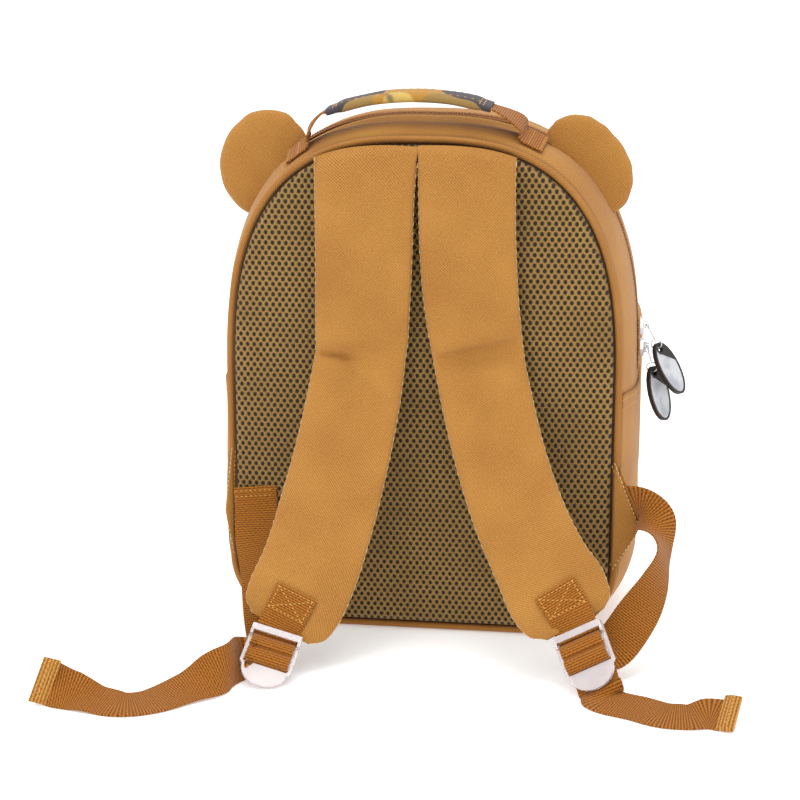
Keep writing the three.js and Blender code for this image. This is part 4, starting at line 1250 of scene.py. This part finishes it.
def ear(side, word):
    centre = vec(side * 91.5 - 4.5, -9, 271)
    shares = [k / ear_rings for k in range(1, ear_rings + 1)]
    swells = [(1 - share ** 3.2) ** 0.55 if share < 1 else 0.0 for share in shares]
    one_face = list(zip(shares, swells))
    stack = [(reach, swell, -1) for reach, swell in one_face]
    stack += [(reach, swell, 1) for reach, swell in reversed(one_face)]
    sections = []
    for reach, swell, way in stack:
        edge = ear_edge * (0.4 + 0.6 * (reach < 1))
        ring = []
        for i in range(ear_count):
            a = i / ear_count * 2 * math.pi
            out = ear_radius * reach * ear_reach(ear_outline[side], math.degrees(a))
            x, z = centre.x + out * math.cos(a), centre.z + out * math.sin(a)
            lump = 1 + 0.28 * wander(x + side * 17, way * 9, z, 24)
            y = centre.y + way * (edge + (ear_half - ear_edge) * swell * lump)
            if side < 0 and way < 0:
                dent = bump((x - centre.x) * 0.6 + (z - centre.z) * 0.5 + 5, 0, 6)
                y += 1.7 * dent * swell
            ring.append(off_body(vec(x, y, z)))
        sections.append(ring)
    bm = loft(sections, from_behind(sections), caps=True)
    piece = keep("ear_pad_" + word, bm, twill)
    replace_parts(piece, "ear_" + word)
    return piece


for side, word in ((1, "right"), (-1, "left")):
    print("Ear", word, "has", len(ear(side, word).data.polygons), "faces")

# %% [markdown]
# ## Carrying handle
#
# A padded grip in printed cloth over the middle of a webbing loop. The grip is a low arch with
# a pillow's section, pinched where it is sewn shut at its ends. A box with a bend modifier
# would have the arch but not the pinches, and its print would stretch.

# %% Grip
handle_y, handle_top, handle_drop, handle_half, handle_shift = -26.5, 314.6, 9.5, 52, -5
grip_end, grip_wide, grip_thick, grip_power = 0.8, 26, 5.4, 3.0
grip_seams, grip_ends = (-8.2, 9.5), (4.6, 6.8)


def handle_place(t):
    """A place on the handle's arch, from -1 at the left to 1 at the right."""
    return vec(handle_shift + handle_half * t, handle_y, handle_top - handle_drop * t * t)


def handle():
    rows = [(handle_place(-1 + (1 + grip_end) * k / 12), vec(0, 1, 0), 1.0, 1.0)
            for k in range(13)]
    band = Band(rows, 6)
    total = band.lengths[-1]

    def puffed(s, length, x, y):
        end = min(length, total - length)
        pinch = 0.72 + 0.28 * smooth(0, 9, end) - 0.14 * bump(end, 5.5, 2.2)
        soft = 1 + 0.10 * wander(length, x, 3, 16)
        return x * (0.97 + 0.03 * soft), y * pinch * soft * 1.2

    section = pad_section(grip_wide, grip_thick, 44, grip_power)
    grip = band_piece("handle_grip_cloth", band, section, print_cloth, "handle_grip",
                      shape=puffed, wrapped=True)
    sign = math.copysign(1, band.samples[20]["out"].z)

    def on_grip(across, length):
        high = grip_thick / 2 * (1 - abs(across * 2 / grip_wide) ** 3) ** (1 / 3)
        x, y = puffed(None, length, across, sign * high)
        return band.point(x, length, y)[0]

    frames, long, up = [], int(total), vec(0, 0, 1)
    for across in grip_seams:
        line = [on_grip(across, l) for l in range(6, long - 5)]
        frames += stitches(line, 4.2, lambda k: up)
    for length in (*grip_ends, long - 6.2, long - 4.0):
        line = [on_grip(x, length) for x in range(-stitch_reach, stitch_reach + 1)]
        frames += stitches(line, 2.6, lambda k: up)
    beads("handle_stitches", frames, (2.4, 0.6, 0.45), thread)
    return total


print("Grip:", round(handle()), "mm long")

# %% [markdown]
# ## The handle's ends
#
# Each end of the webbing comes out of the grip, is folded down on to the gusset and is sewn
# flat with two rows. The fold could be bent out of a straight strip; a band through six rows
# finds the gusset's slope at each one, so the sewn end lies on the cloth.

# %% Handle ends
# Side, how far along the arch the grip ends, and where the webbing meets the gusset.
handle_end_table = [(1, "right", 0.79, 50.0), (-1, "left", 1.0, 63.0)]
# How far outwards each row lies from there, and how far it stands off the cloth.
fold_rows = [(-0.5, 6), (1.5, 1.4), (6, 0.5), (13, 0.4)]


def gusset_row(side, x, extra):
    """A webbing's row across the gusset, at a place over the top and off its surface."""
    share = panel_edge.share_across(x)
    share = share if side > 0 else 1 - share
    lift = seam_gap + web_thick / 2
    back = gusset_point(share, handle_y - web_width / 2, lift)
    front = gusset_point(share, handle_y + web_width / 2, lift)
    middle = (back + front) / 2
    sag = (gusset_point(share, handle_y, lift) - middle).length
    outward = vec(panel_edge.at(share)[2], 0, panel_edge.at(share)[3])
    return middle + outward * (sag + extra), (front - back).normalized(), 1.0, 1.0


for side, word, last, meets in handle_end_table:
    tip, near = handle_place(side * last), handle_place(side * (last - 0.03))
    along = (tip - near).normalized()
    start = tip + along * seam_gap
    rows = [(start + along * run, vec(0, 1, 0), 1.0, 1.0) for run in (-2, 4)]
    rows += [gusset_row(side, meets + out, extra) for out, extra in fold_rows]
    band = Band(rows, 5)
    band_piece("handle_webbing_" + word, band, flat_section(web_width, web_thick, 12), webbing,
               "handle_end_" + word)
    end, frames = band.lengths[-1], []
    sign = 1 if band.samples[-1]["out"].z > 0 else -1
    up = band.samples[-1]["out"] * sign
    for length in (end - 1.6, end - 9):
        line = band.row_across(length, sign * (web_thick / 2 + stitch_stand))
        frames += stitches(line, stitch_pitch, lambda k: up)
    beads("handle_end_stitches_" + word, frames, (2.1, 0.5, 0.4), thread)
    print("Handle end", word, "is", round(end), "mm long")

# %% [markdown]
# ## Shoulder straps
#
# Each strap is a foam pad with twill on its face and spacer mesh underneath. The two cloths
# meet in an edge seam bound with a pale line of thread. The strap leans off the panel and is
# folded once where it turns outwards. Cloth simulation makes folds like that, but where they
# fall is hard to steer, and the photograph fixes it. So a table gives each strap's route, and
# its crease is pressed into the face by a function of the length.

# %% Routes of the straps
strap_width, strap_thick, strap_power, strap_y = 54.0, 8.4, 3.2, -53.8
# Down and across as shares of the panel's height and half width, out in tenths of a metre, and
# the shares of the strap's width and thickness there.
left_strap_table = [
    (.984, -.276, .034, 1.1, .5), (.955, -.28, .052, 1.07, .8), (.9, -.282, .078, 1.04, 1),
    (.8, -.284, .09, 1.02, 1), (.69, -.29, .098, 1, 1), (.62, -.296, .1, .98, .9),
    (.592, -.3, .104, .96, .78), (.56, -.308, .13, .97, .94), (.49, -.332, .2, .99, 1),
    (.4, -.372, .3, 1.01, 1), (.3, -.43, .41, 1.03, 1), (.2, -.5, .53, 1.04, 1),
    (.135, -.57, .612, 1.05, .95), (.1, -.617, .66, .95, .8), (.084, -.64, .684, .68, .45)]
right_strap_table = [
    (.984, .232, .034, 1.03, .5), (.955, .234, .052, 1.01, .8), (.9, .238, .078, 1, 1),
    (.8, .246, .09, 1, 1), (.69, .268, .098, .99, 1), (.62, .294, .1, .96, .9),
    (.592, .306, .104, .95, .78), (.56, .324, .13, .94, .94), (.49, .372, .2, .94, 1),
    (.4, .446, .3, .94, 1), (.3, .552, .41, .95, 1), (.22, .668, .51, .98, 1),
    (.168, .76, .582, 1.05, .95), (.134, .828, .634, .93, .8), (.119, .856, .658, .66, .45)]


def strap_band(table):
    rows = [(vec(across * panel_half, strap_y - out * 100, down * panel_high), vec(1, 0, 0),
             wide, thick) for down, across, out, wide, thick in table]
    return Band(rows, 8)


# %% Strap pads


def strap_sway(length):
    """Cut edges wander a little in and out along the strap."""
    return 1 + 0.006 * wander(3, length, 8, 20)


def strap_sections(band, section, crease):
    def shaped(s, length, x, y):
        half = strap_width / 2 * s["wide"]
        inner = smooth(half, half - 5, abs(x))
        face = max(0.0, y) / (strap_thick / 2 * max(s["thick"], 0.3))
        swell = 0.45 * wander(x, length, 5, 26) * inner
        y += face * (crease(x, length) * (0.35 + 0.65 * inner) + swell)
        y += 0.25 * wander(x, length, 60, 12) * smooth(half - 7, half - 2, abs(x))
        return x * strap_sway(length), y

    top = band.rows[0][0].z
    sections = []
    for ring in band.part(section, shaped):
        raised = []
        for p in ring:
            # The strap's top is cut along the seam that holds it.
            seam = panel_edge.at(panel_edge.share_across(abs(p.x) + 1e-3))[1]
            near = smooth(top - 26, top, p.z)
            tucked = 2.0 * smooth(top - 4, top, p.z)
            raised.append(p + vec(0, tucked, (seam - 0.2 - top) * near))
        sections.append(raised)
    return sections


def shoulder_strap(word, band, crease):
    section = pad_section(strap_width, strap_thick, 72, strap_power)
    girth = girth_of(section)
    bm = loft(strap_sections(band, section, crease),
              lambda i, k: (girth[i], band.lengths[k]), caps=True)
    piece = keep("shoulder_strap_pad_" + word, bm, [twill, air_mesh], smooth_angle=60)
    layer = piece.data.uv_layers[0].data
    for f in piece.data.polygons:
        turn = sum(layer[j].uv.x for j in f.loop_indices) / len(f.loop_indices) / mm
        f.material_index = int(turn > girth[-1] / 2)
    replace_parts(piece, "shoulder_strap_" + word)


# %% Bound edges of the straps
binding_half, binding_high, binding_from = 0.4, 0.5, 6


def strap_edge(word, edge, way, band):
    """The binding's thin cord along one edge, and the pale dashes of its seam."""
    turns = [a / 8 * 2 * math.pi for a in range(8)]
    ring = [(math.cos(a) * binding_half, math.sin(a) * binding_high) for a in turns]
    rim = []
    for k, s in enumerate(band.samples[binding_from:], binding_from):
        x = way * (strap_width / 2 * s["wide"] - 0.1) * strap_sway(band.lengths[k])
        rim.append((s["at"] + s["w"] * x + s["out"] * 0.2 * s["thick"], s))
    cord = [[p + s["w"] * x + s["out"] * y for x, y in ring] for p, s in rim]
    bm = loft(cord, lambda i, k: (i * 0.4, band.lengths[k + binding_from]), caps=True)
    keep("strap_edge_%s_%s" % (word, edge), bm, edge_binding)
    line = [p + s["w"] * way * 0.25 for p, s in rim]
    frames = stitches(line, 5.4, lambda k: rim[k][1]["w"] * way)
    beads("strap_stitches_%s_%s" % (word, edge), frames, (3.9, 0.95, 0.6), edge_cream)
    return len(frames)


# %% Shoulder straps
left_band, right_band = strap_band(left_strap_table), strap_band(right_strap_table)


def left_crease(x, length):
    sharp = -3.0 * bump(length, 117 + (x + 27) * 0.06, 2.0) * smooth(4, -10, x)
    fold = -2.6 * bump(length, 121 + (x + 8) * 0.9, 5) * smooth(-14, -4, x) * smooth(26, 10, x)
    return sharp + fold + 2.2 * bump(length, 109, 6) * smooth(16, -12, x)


def right_crease(x, length):
    edge = length + x * 0.1
    dip = smooth(108, 110.5, edge) * smooth(130, 115, edge)
    return -3.0 * dip + 1.0 * bump(length, 134, 9) + 1.5 * bump(edge, 104, 5)


for word, band, crease in (("left", left_band, left_crease), ("right", right_band, right_crease)):
    shoulder_strap(word, band, crease)
    dashes = strap_edge(word, "outer", -1, band) + strap_edge(word, "inner", 1, band)
    print("Strap", word, "is", round(band.lengths[-1]), "mm long, with", dashes, "dashes")

# %% [markdown]
# ## Where the webbing goes
#
# The long webbing starts at the wing in the side seam, swings out and back, passes up, over
# and down through the ladder-lock buckle and ends in a loose tail. It could be a simulated
# ribbon, but then it would slip out of the buckle. Instead each buckle has axes of its own, in
# which the rows through it are given, and tables lead from the wing to it and on to the tail.

# %% Buckle axes
def buckle_frame(band, down):
    v = down.normalized()
    w = (vec(0, -1, 0) - v * vec(0, -1, 0).dot(v)).normalized()
    u = v.cross(w).normalized()
    origin = band.rows[-1][0] + v * 4 + w * 1
    return {"u": u, "v": v, "w": w, "place": lambda x, y, z: origin + u * x + v * y + w * z}


left_frame = buckle_frame(left_band, vec(-0.16, -0.8, -0.57))
right_frame = buckle_frame(right_band, vec(0.365, -0.63, -0.685))
buckle_plate, loop_bar = 2.4, 3.4
print("Buckles hang from", [round(v) for v in left_band.rows[-1][0]], "and",
      [round(v) for v in right_band.rows[-1][0]])

# %% Wings' corners
wing_reach, wing_thick = 12.5, 2.0
wing_share = {1: 1.0, -1: 0.12}  # the left wing is pulled in, and is seen edge-on
print("Wings reach", wing_reach * wing_share[1], "and", wing_reach * wing_share[-1], "mm out")


def wing_corner(side, height, reach):
    reach = reach * wing_share[side] if reach > 0 else reach
    x, z, nx, nz = panel_edge.at(panel_edge.share_at(height))
    out = 2 * piping_radius + seam_gap / 2 + reach
    return vec(side * (x + nx * out), back_y + 1, z + nz * out)


def webbing_start(side):
    top, tip = wing_corner(side, 95, 2.5), wing_corner(side, 72, wing_reach)
    width = (tip - top).normalized()
    middle = (top + tip) / 2 - vec(0, wing_thick + seam_gap + web_thick / 2, 0)
    away = vec(-side * width.z, 0, side * width.x)
    return [(middle + away * reach * 5 - vec(0, stand * 5, 0), width)
            for reach, stand in ((-1, 0), (0, 0.18), (0.6, 0.55))]


# %% Webbing rows
# Places along the buckle and above its plate, in millimetres.
buckle_table = [(5.8, -4.6), (5.8, -1.4), (5.8, 0.9), (6.9, 2.6), (9.2, 3.9), (12.4, 3.9),
                (13.8, 2.5), (14.9, 2.6), (16.2, 4.1), (19.8, 4.1), (21.9, 2.6), (22.6, 0.9),
                (22.6, -1.2), (22.6, -2.6)]
# Across, out and up as shares of the panel's half width, the depth and the height, and the
# direction of the webbing's width.
loop_tables = {
    -1: [(-.88, .062, .298, (.92, 0, -.39)), (-.868, .1, .255, (.96, 0, -.26)),
         (-.848, .2, .2, (.99, 0, -.12)), (-.8, .34, .158, (1, 0, -.04)),
         (-.738, .57, .076, (.98, 0, -.15)), (-.69, .68, .031, (.96, 0, -.27))],
    1: [(1.165, .085, .288, (.18, -.32, -.92)), (1.235, .17, .264, (.02, -.8, -.6)),
        (1.275, .28, .222, (-.2, -.97, .0)), (1.24, .38, .172, (-.6, -.7, .38)),
        (1.145, .49, .11, (-.87, -.1, .48)), (1.03, .59, .058, (-.97, 0, .15)),
        (.93, .645, .052, (-.93, 0, -.3))]}
# Across and along in webbing widths and buckle lengths, and below in webbing thicknesses.
exit_tables = {-1: [(.03, .63, 4)], 1: [(-.01, .76, 2.75), (0, 1.03, 2.75)]}
buckle_long = 36
# Across and out as above, then the heading and the slope of the width in degrees.
tail_tables = {
    -1: [(-.79, .845, -50, -50), (-.862, 1.06, -96, -63), (-1.036, 1.2, -78, -18),
         (-1.18, 1.35, -73, -7), (-1.304, 1.41, -65, -8), (-1.43, 1.39, -53, -13),
         (-1.554, 1.37, -30, -28), (-1.67, 1.39, -5, -46)],
    1: [(1.024, .994, 231, -10), (1.19, 1.08, 240, -8), (1.31, 1.15, 248, -8),
        (1.43, 1.155, 235, -8), (1.53, 1.13, 210, -14), (1.6, 1.16, 192, -17)]}


def tail_rows(table):
    rows = []
    for across, out, heading, lift in table:
        h, l = math.radians(heading), math.radians(lift)
        up = web_width / 2 * abs(math.sin(l)) + web_thick / 2 + floor_gap
        width = vec(math.cos(h) * math.cos(l), math.sin(h) * math.cos(l), math.sin(l))
        rows.append((vec(across * panel_half, back_y - out * body_depth, up), width))
    return rows


def adjuster_rows(side, f):
    width = f["u"] * side
    loop = [(vec(a * panel_half, back_y - o * body_depth, up * panel_high), vec(*w).normalized())
            for a, o, up, w in loop_tables[side]]
    through = [(f["place"](0, v, w), width) for v, w in buckle_table]
    leave = [(f["place"](a * web_width, al * buckle_long, -b * web_thick), width)
             for a, al, b in exit_tables[side]]
    start = webbing_start(side) if side > 0 else []
    rows = start + loop + through + leave + tail_rows(tail_tables[side])
    return [(at, w, 1.0, 1.0) for at, w in rows]


print("Rows of the webbings:", len(adjuster_rows(-1, left_frame)), "at the left and",
      len(adjuster_rows(1, right_frame)), "at the right")

# %% [markdown]
# ## Long webbings
#
# Webbing is a stiff woven band that keeps its width and bends only along its length. Each is
# one lofted band with rounded edges. The left one lies over the panel's edge and is sewn there
# with two rows; the right one goes under the wing.

# %% Long webbings
stitch = 2.0, 0.5, 0.4


def long_webbing(side, word, f):
    band = Band(adjuster_rows(side, f), 8)
    band_piece("webbing_" + word, band, flat_section(web_width, web_thick, 14), webbing,
               "adjuster_" + word)
    if side < 0:
        frames = []
        for length in (2.2, 5.4):
            stand = web_thick / 2 + stitch_stand
            faces = [band.row_across(length, way * stand) for way in (-1, 1)]
            line = min(faces, key=lambda face: face[0].y)
            frames += stitches(line, stitch_pitch, lambda k: vec(0, -1, 0))
        beads("webbing_stitches_" + word, frames, stitch, thread)
    return band


print("Stitches on webbing are", stitch[0], "mm long")

# %% [markdown]
# ## Rolled hems
#
# Each tail's end is rolled over and sewn, so that it can't slip back through the buckle. The
# roll could be a spiral band; seen from outside it is a short flat pad that swells between its
# two ends, set a little askew because nobody sews it square.

# %% Rolled hems
hem_long, hem_thick, hem_swing, hem_rows_at = 9.6, 4.4, 0.12, (2.6, 5.4)
hem_low, hem_rise, hem_back, hem_sections = 1.4, 0.4, 2.4, 15


def tail_hem(word, last):
    start = last["at"] - last["along"] * hem_back
    turn = flat_section(web_width + 0.6, hem_thick, 14, 2.1)
    across = last["w"] + last["along"] * hem_swing

    def middle(q):
        return start + last["along"] * q * hem_long + vec(0, 0, hem_low + hem_rise * q)

    sections = []
    for k in range(hem_sections):
        q = k / (hem_sections - 1)
        swell = 0.3 + 0.66 * math.sin(math.pi * (0.03 + q * 0.94)) ** 0.6
        sections.append([middle(q) + across * x + last["out"] * y * swell for x, y in turn])
    lift = vec(0, 0, max(0.0, floor_gap - min(p.z for s in sections for p in s)))
    sections = [[p + lift for p in s] for s in sections]
    bm = loft(sections, lambda i, k: (turn[i % len(turn)][0], k * 0.5), caps=True)
    # The hem takes the lighter webbing, a painted highlight on the roll.
    hem = keep("tail_hem_cloth_" + word, bm, webbing_light, smooth_angle=50)
    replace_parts(hem, "tail_hem_" + word)
    up = last["out"] if last["out"].z > 0 else -last["out"]
    frames = []
    for q in hem_rows_at:
        centre = middle(q / hem_long) + lift + up * 2.15
        line = [centre + across * x for x in range(-stitch_reach, stitch_reach + 1)]
        frames += stitches(line, stitch_pitch, lambda k: up)
    beads("tail_hem_stitches_" + word, frames, stitch, thread)
    return len(frames)


for side, word, f in ((-1, "left", left_frame), (1, "right", right_frame)):
    web = long_webbing(side, word, f)
    print("Webbing", word, "is", round(web.lengths[-1]), "mm long and its hem has",
          tail_hem(word, web.samples[-1]), "stitches")

# %% [markdown]
# ## Tabs
#
# A short webbing is folded over the buckle's bar and sewn to the strap in a box with a cross,
# which spreads the pull over the cloth. Its rows run down the strap's face, round the bar and
# back, and the cross is stitched on the band's own face, so it bends with it.

# %% Tabs
box_half, box_from, box_to, box_steps = 10.5, 1.8, 14.5, 12
tab_long = 23


def strap_tab(word, band, f):
    total = band.lengths[-1]
    level = buckle_plate / 2 + 0.25 + web_thick / 2
    turn = loop_bar + 0.25 + web_thick / 2

    def on_face(share):
        length = total - share * tab_long
        at, w, out = band.point(0, length, 0)
        k = min(range(len(band.lengths)), key=lambda j: abs(band.lengths[j] - length))
        stand = band.samples[k]["thick"] * strap_thick / 2 + seam_gap + web_thick / 2 + 0.4
        return at - out * math.copysign(stand, out.y), w * math.copysign(1, w.dot(f["u"]))

    rows = [on_face(1), on_face(0.7), on_face(0.4)]
    rows += [(f["place"](0, v, w), f["u"]) for v, w in (
        (-2, level), (0.2, level), (turn - 0.7, level), (turn, level - 0.7), (turn, 0.7 - level),
        (turn - 0.7, -level), (0.6, -level))]
    tab = Band([(at, w, 1.0, 1.0) for at, w in rows], 6)
    band_piece("tab_webbing_" + word, tab, flat_section(web_width, web_thick, 14), webbing,
               "strap_tab_" + word)
    sign = math.copysign(1, -tab.samples[4]["out"].y)
    up = tab.samples[4]["out"] * sign
    stand = sign * (web_thick / 2 + 0.12)
    corners = [(-box_half, box_from), (box_half, box_from), (box_half, box_to), (-box_half, box_to)]
    runs = [(corners[k], corners[(k + 1) % 4]) for k in range(4)]
    runs += [(corners[0], corners[2]), (corners[1], corners[3])]
    frames = []
    for (xa, la), (xb, lb) in runs:
        parts = [j / box_steps for j in range(box_steps + 1)]
        line = [tab.point(xa + (xb - xa) * q, la + (lb - la) * q, stand)[0] for q in parts]
        frames += stitches(line, 2.5, lambda k: up)
    beads("tab_stitches_" + word, frames, (2.0, 0.55, 0.4), thread)
    return len(frames)


for word, band, f in (("left", left_band, left_frame), ("right", right_band, right_frame)):
    print("Tab", word, "has", strap_tab(word, band, f), "stitches")

# %% [markdown]
# ## Buckles
#
# A ladder lock is one moulding of milky plastic, with bars that grip the webbing. Its shape is
# real geometry in the CAD model, so it is copied and only its edges are rounded, as a mould
# leaves them.
#
# ## Wings
#
# A wing is a triangle of doubled cloth sewn into the side seam, which holds the webbing's lower
# end between its layers. The inner layer is the CAD wing with soft edges; a thin flap that
# swells over the webbing covers it. The left wing is drawn towards its seam.

# %% Buckles and the wings' inner cloth
for side, word in ((-1, "left"), (1, "right")):
    lock = copy_of("buckle_" + word, "ladder_lock_" + word, clear_plastic, 0.35)
    print(lock.name, "has", len(lock.data.polygons), "faces before rounding")
    cloth = copy_of("wing_" + word, "wing_cloth_" + word, twill_flat, 0.5)
    seam_x = side * (panel_half + 2 * piping_radius + seam_gap / 2) * mm
    if side < 0:
        for v in cloth.data.vertices:
            v.co.x = seam_x + (v.co.x - seam_x) * wing_share[side]

# %% Wings' stitches
wing_stitch = 2.0, 0.5, 0.36
wing_rows = 2.2, 4.6


def wing_stitches(side, word):
    corners = [wing_corner(side, 106, 0), wing_corner(side, 72, wing_reach),
               wing_corner(side, 46, 0)]
    frames = []
    for offset in wing_rows:
        inwards = vec(-side, 0, 0) * offset
        line = [p + inwards - vec(0, wing_thick + 0.15, 0) for p in corners]
        frames += stitches(line, stitch_pitch, lambda k: vec(0, -1, 0))
    beads("wing_stitches_" + word, frames, wing_stitch, thread)
    return len(frames)


for side, word in ((1, "right"), (-1, "left")):
    print("Wing", word, "has", wing_stitches(side, word), "stitches")

# %% Wings' flaps
flap_up, flap_across, flap_bend = 12, 8, 0.6


def wing_flap(side, word):
    """The wing's outer layer, which covers the webbing's sewn end."""
    top, tip, low = (wing_corner(side, 108, -3), wing_corner(side, 70, wing_reach),
                     wing_corner(side, 44, -3))
    inner_top, inner_low = wing_corner(side, 108, -3.2), wing_corner(side, 44, -3.2)
    sections = []
    for k in range(flap_up + 1):
        q = k / flap_up
        above = q < flap_bend
        below = (q - flap_bend) / (1 - flap_bend)
        edge = top.lerp(tip, q / flap_bend) if above else tip.lerp(low, below)
        base = inner_top.lerp(inner_low, q)
        row = []
        for i in range(flap_across + 1):
            f = i / flap_across
            p = base.lerp(edge, f)
            swell = 3.4 + 1.5 * math.sin(math.pi * q) * smooth(0, 1, f)
            swell += 0.5 * math.sin(math.pi * f)
            row.append(vec(p.x, back_y + 1 - swell, p.z))
        sections.append(row)
    bm = facing(loft(sections, from_behind(sections), closed=False), vec(0, -1, 0))
    solidify(keep("wing_flap_" + word, bm, twill), 0.7)
    line = [row[-1] * 0.9 + row[-2] * 0.1 - vec(0, 0.1, 0) for row in sections]
    frames = stitches(line, stitch_pitch, lambda k: vec(0, -1, 0))
    beads("wing_flap_stitches_" + word, frames, wing_stitch, pale_thread)
    return len(frames)


for side, word in ((1, "right"), (-1, "left")):
    print("Flap", word, "has", wing_flap(side, word), "stitches")

# %% [markdown]
# ## Zip sliders and pulls
#
# Two plated sliders meet on the right side of the main zip. Each carries a wire bail, a ring
# and a rubber disc, which swing on the slider; the front pocket's slider has a plain pull. The
# CAD model holds their real shapes. They are copied, the metal's edges are rounded, and the
# disc's two faces are inset, because the real ones have a raised dark rim.

# %% Rubber discs
disc_rim, disc_sink = 1.5, 0.25


def rubber_pull(word, body):
    """A dark disc whose two faces are inset and paler."""
    node = "pull_disc_" + word
    bm = merged_copy(node, 2)
    large = sorted(bm.faces, key=lambda f: -f.calc_area())[:2]
    bmesh.ops.inset_individual(bm, faces=large, thickness=disc_rim * mm, depth=-disc_sink * mm)
    for f in large:
        f.material_index = 1
    piece = keep("rubber_pull_" + word, bm, [rubber, rubber_face], body, smooth_angle=40)
    rounded(piece, 0.3, 40)
    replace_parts(piece, node)


# %% Sliders and pulls
for word in ("upper", "lower"):
    body = "pull_" + word
    copy_of("slider_" + word, "zip_slider_" + word, steel, 0.3)
    copy_of("bail_" + word, "wire_bail_" + word, steel, 0.15, body=body)
    copy_of("ring_" + word, "pull_ring_" + word, steel, 0.15, body=body)
    rubber_pull(word, body)
copy_of("front_pocket_slider", "front_pocket_zip_slider", steel, 0.25)
print("Pieces:", len(pieces))

# %% [markdown]
# ## Studio
#
# The photograph is a catalogue one: pure white all round, with hardly a shadow. White light
# from the whole world gives that, and two broad soft lights, one in front at the left and one
# overhead, model the folds. The floor is almost white and glows a little, so that it reads as
# paper and still takes the soft shadow under the bag.

# %% Floor


def floor():
    bm = bmesh.new()
    bmesh.ops.create_grid(bm, x_segments=2, y_segments=2, size=7.0, calc_uvs=True)
    mesh = bpy.data.meshes.new("studio_floor")
    bm.to_mesh(mesh)
    bm.free()
    m, net, shader = new_material("studio_floor")
    tone = net.noise(net.object_place(), 3.0, 2.0)
    net.fill(shader, {
        "Base Color": net.blend(tone, rgb("#F8F8F8"), rgb("#FBFBFB")),
        "Roughness": 0.9, "Specular IOR Level": 0.1,
        "Emission Color": (1, 1, 1, 1), "Emission Strength": 0.3})
    mesh.materials.append(m)
    piece = bpy.data.objects.new("studio_floor", mesh)
    bpy.context.scene.collection.objects.link(piece)


floor()
print("Floor laid")

# %% Lights


def area_light(name, place, size, energy):
    light = bpy.data.lights.new(name, "AREA")
    light.shape = "DISK"
    light.size = size
    light.energy = energy
    piece = bpy.data.objects.new(name, light)
    piece.location = place
    aim = light_aim - Vector(place)
    piece.rotation_euler = aim.to_track_quat("-Z", "Y").to_euler()
    bpy.context.scene.collection.objects.link(piece)


light_aim = Vector((0.0, -0.04, 0.12))
area_light("key", (-0.9, -1.6, 2.1), 1.2, 12.0)
area_light("top", (0.1, -0.2, 2.4), 1.6, 22.0)

world = bpy.data.worlds.new("studio")
world.use_nodes = True
world.node_tree.nodes["Background"].inputs["Color"].default_value = (1, 1, 1, 1)
world.node_tree.nodes["Background"].inputs["Strength"].default_value = 1.04
bpy.context.scene.world = world
bpy.context.scene.view_settings.view_transform = "Standard"
print("Lights: key, top and the world")

# %% [markdown]
# ## Camera
#
# The camera stands behind the bag, a little to the right of its middle and fifteen degrees up,
# 1.25 m away, as the sizes of the near and far webbing in the photograph say.

# %% Camera
az, el, far = math.radians(8), math.radians(15), 1.25
aim = Vector((-0.0128, -0.05, 0.141))
back = Vector((math.sin(az) * math.cos(el), -math.cos(az) * math.cos(el), math.sin(el)))
camera = bpy.data.objects.new("camera", bpy.data.cameras.new("camera"))
camera.data.lens = 96.98
camera.data.sensor_width = 36
camera.location = aim + back * far
camera.rotation_euler = (-back).to_track_quat("-Z", "Y").to_euler()
bpy.context.scene.collection.objects.link(camera)
bpy.context.scene.camera = camera
print("Camera at", [round(v, 3) for v in camera.location])
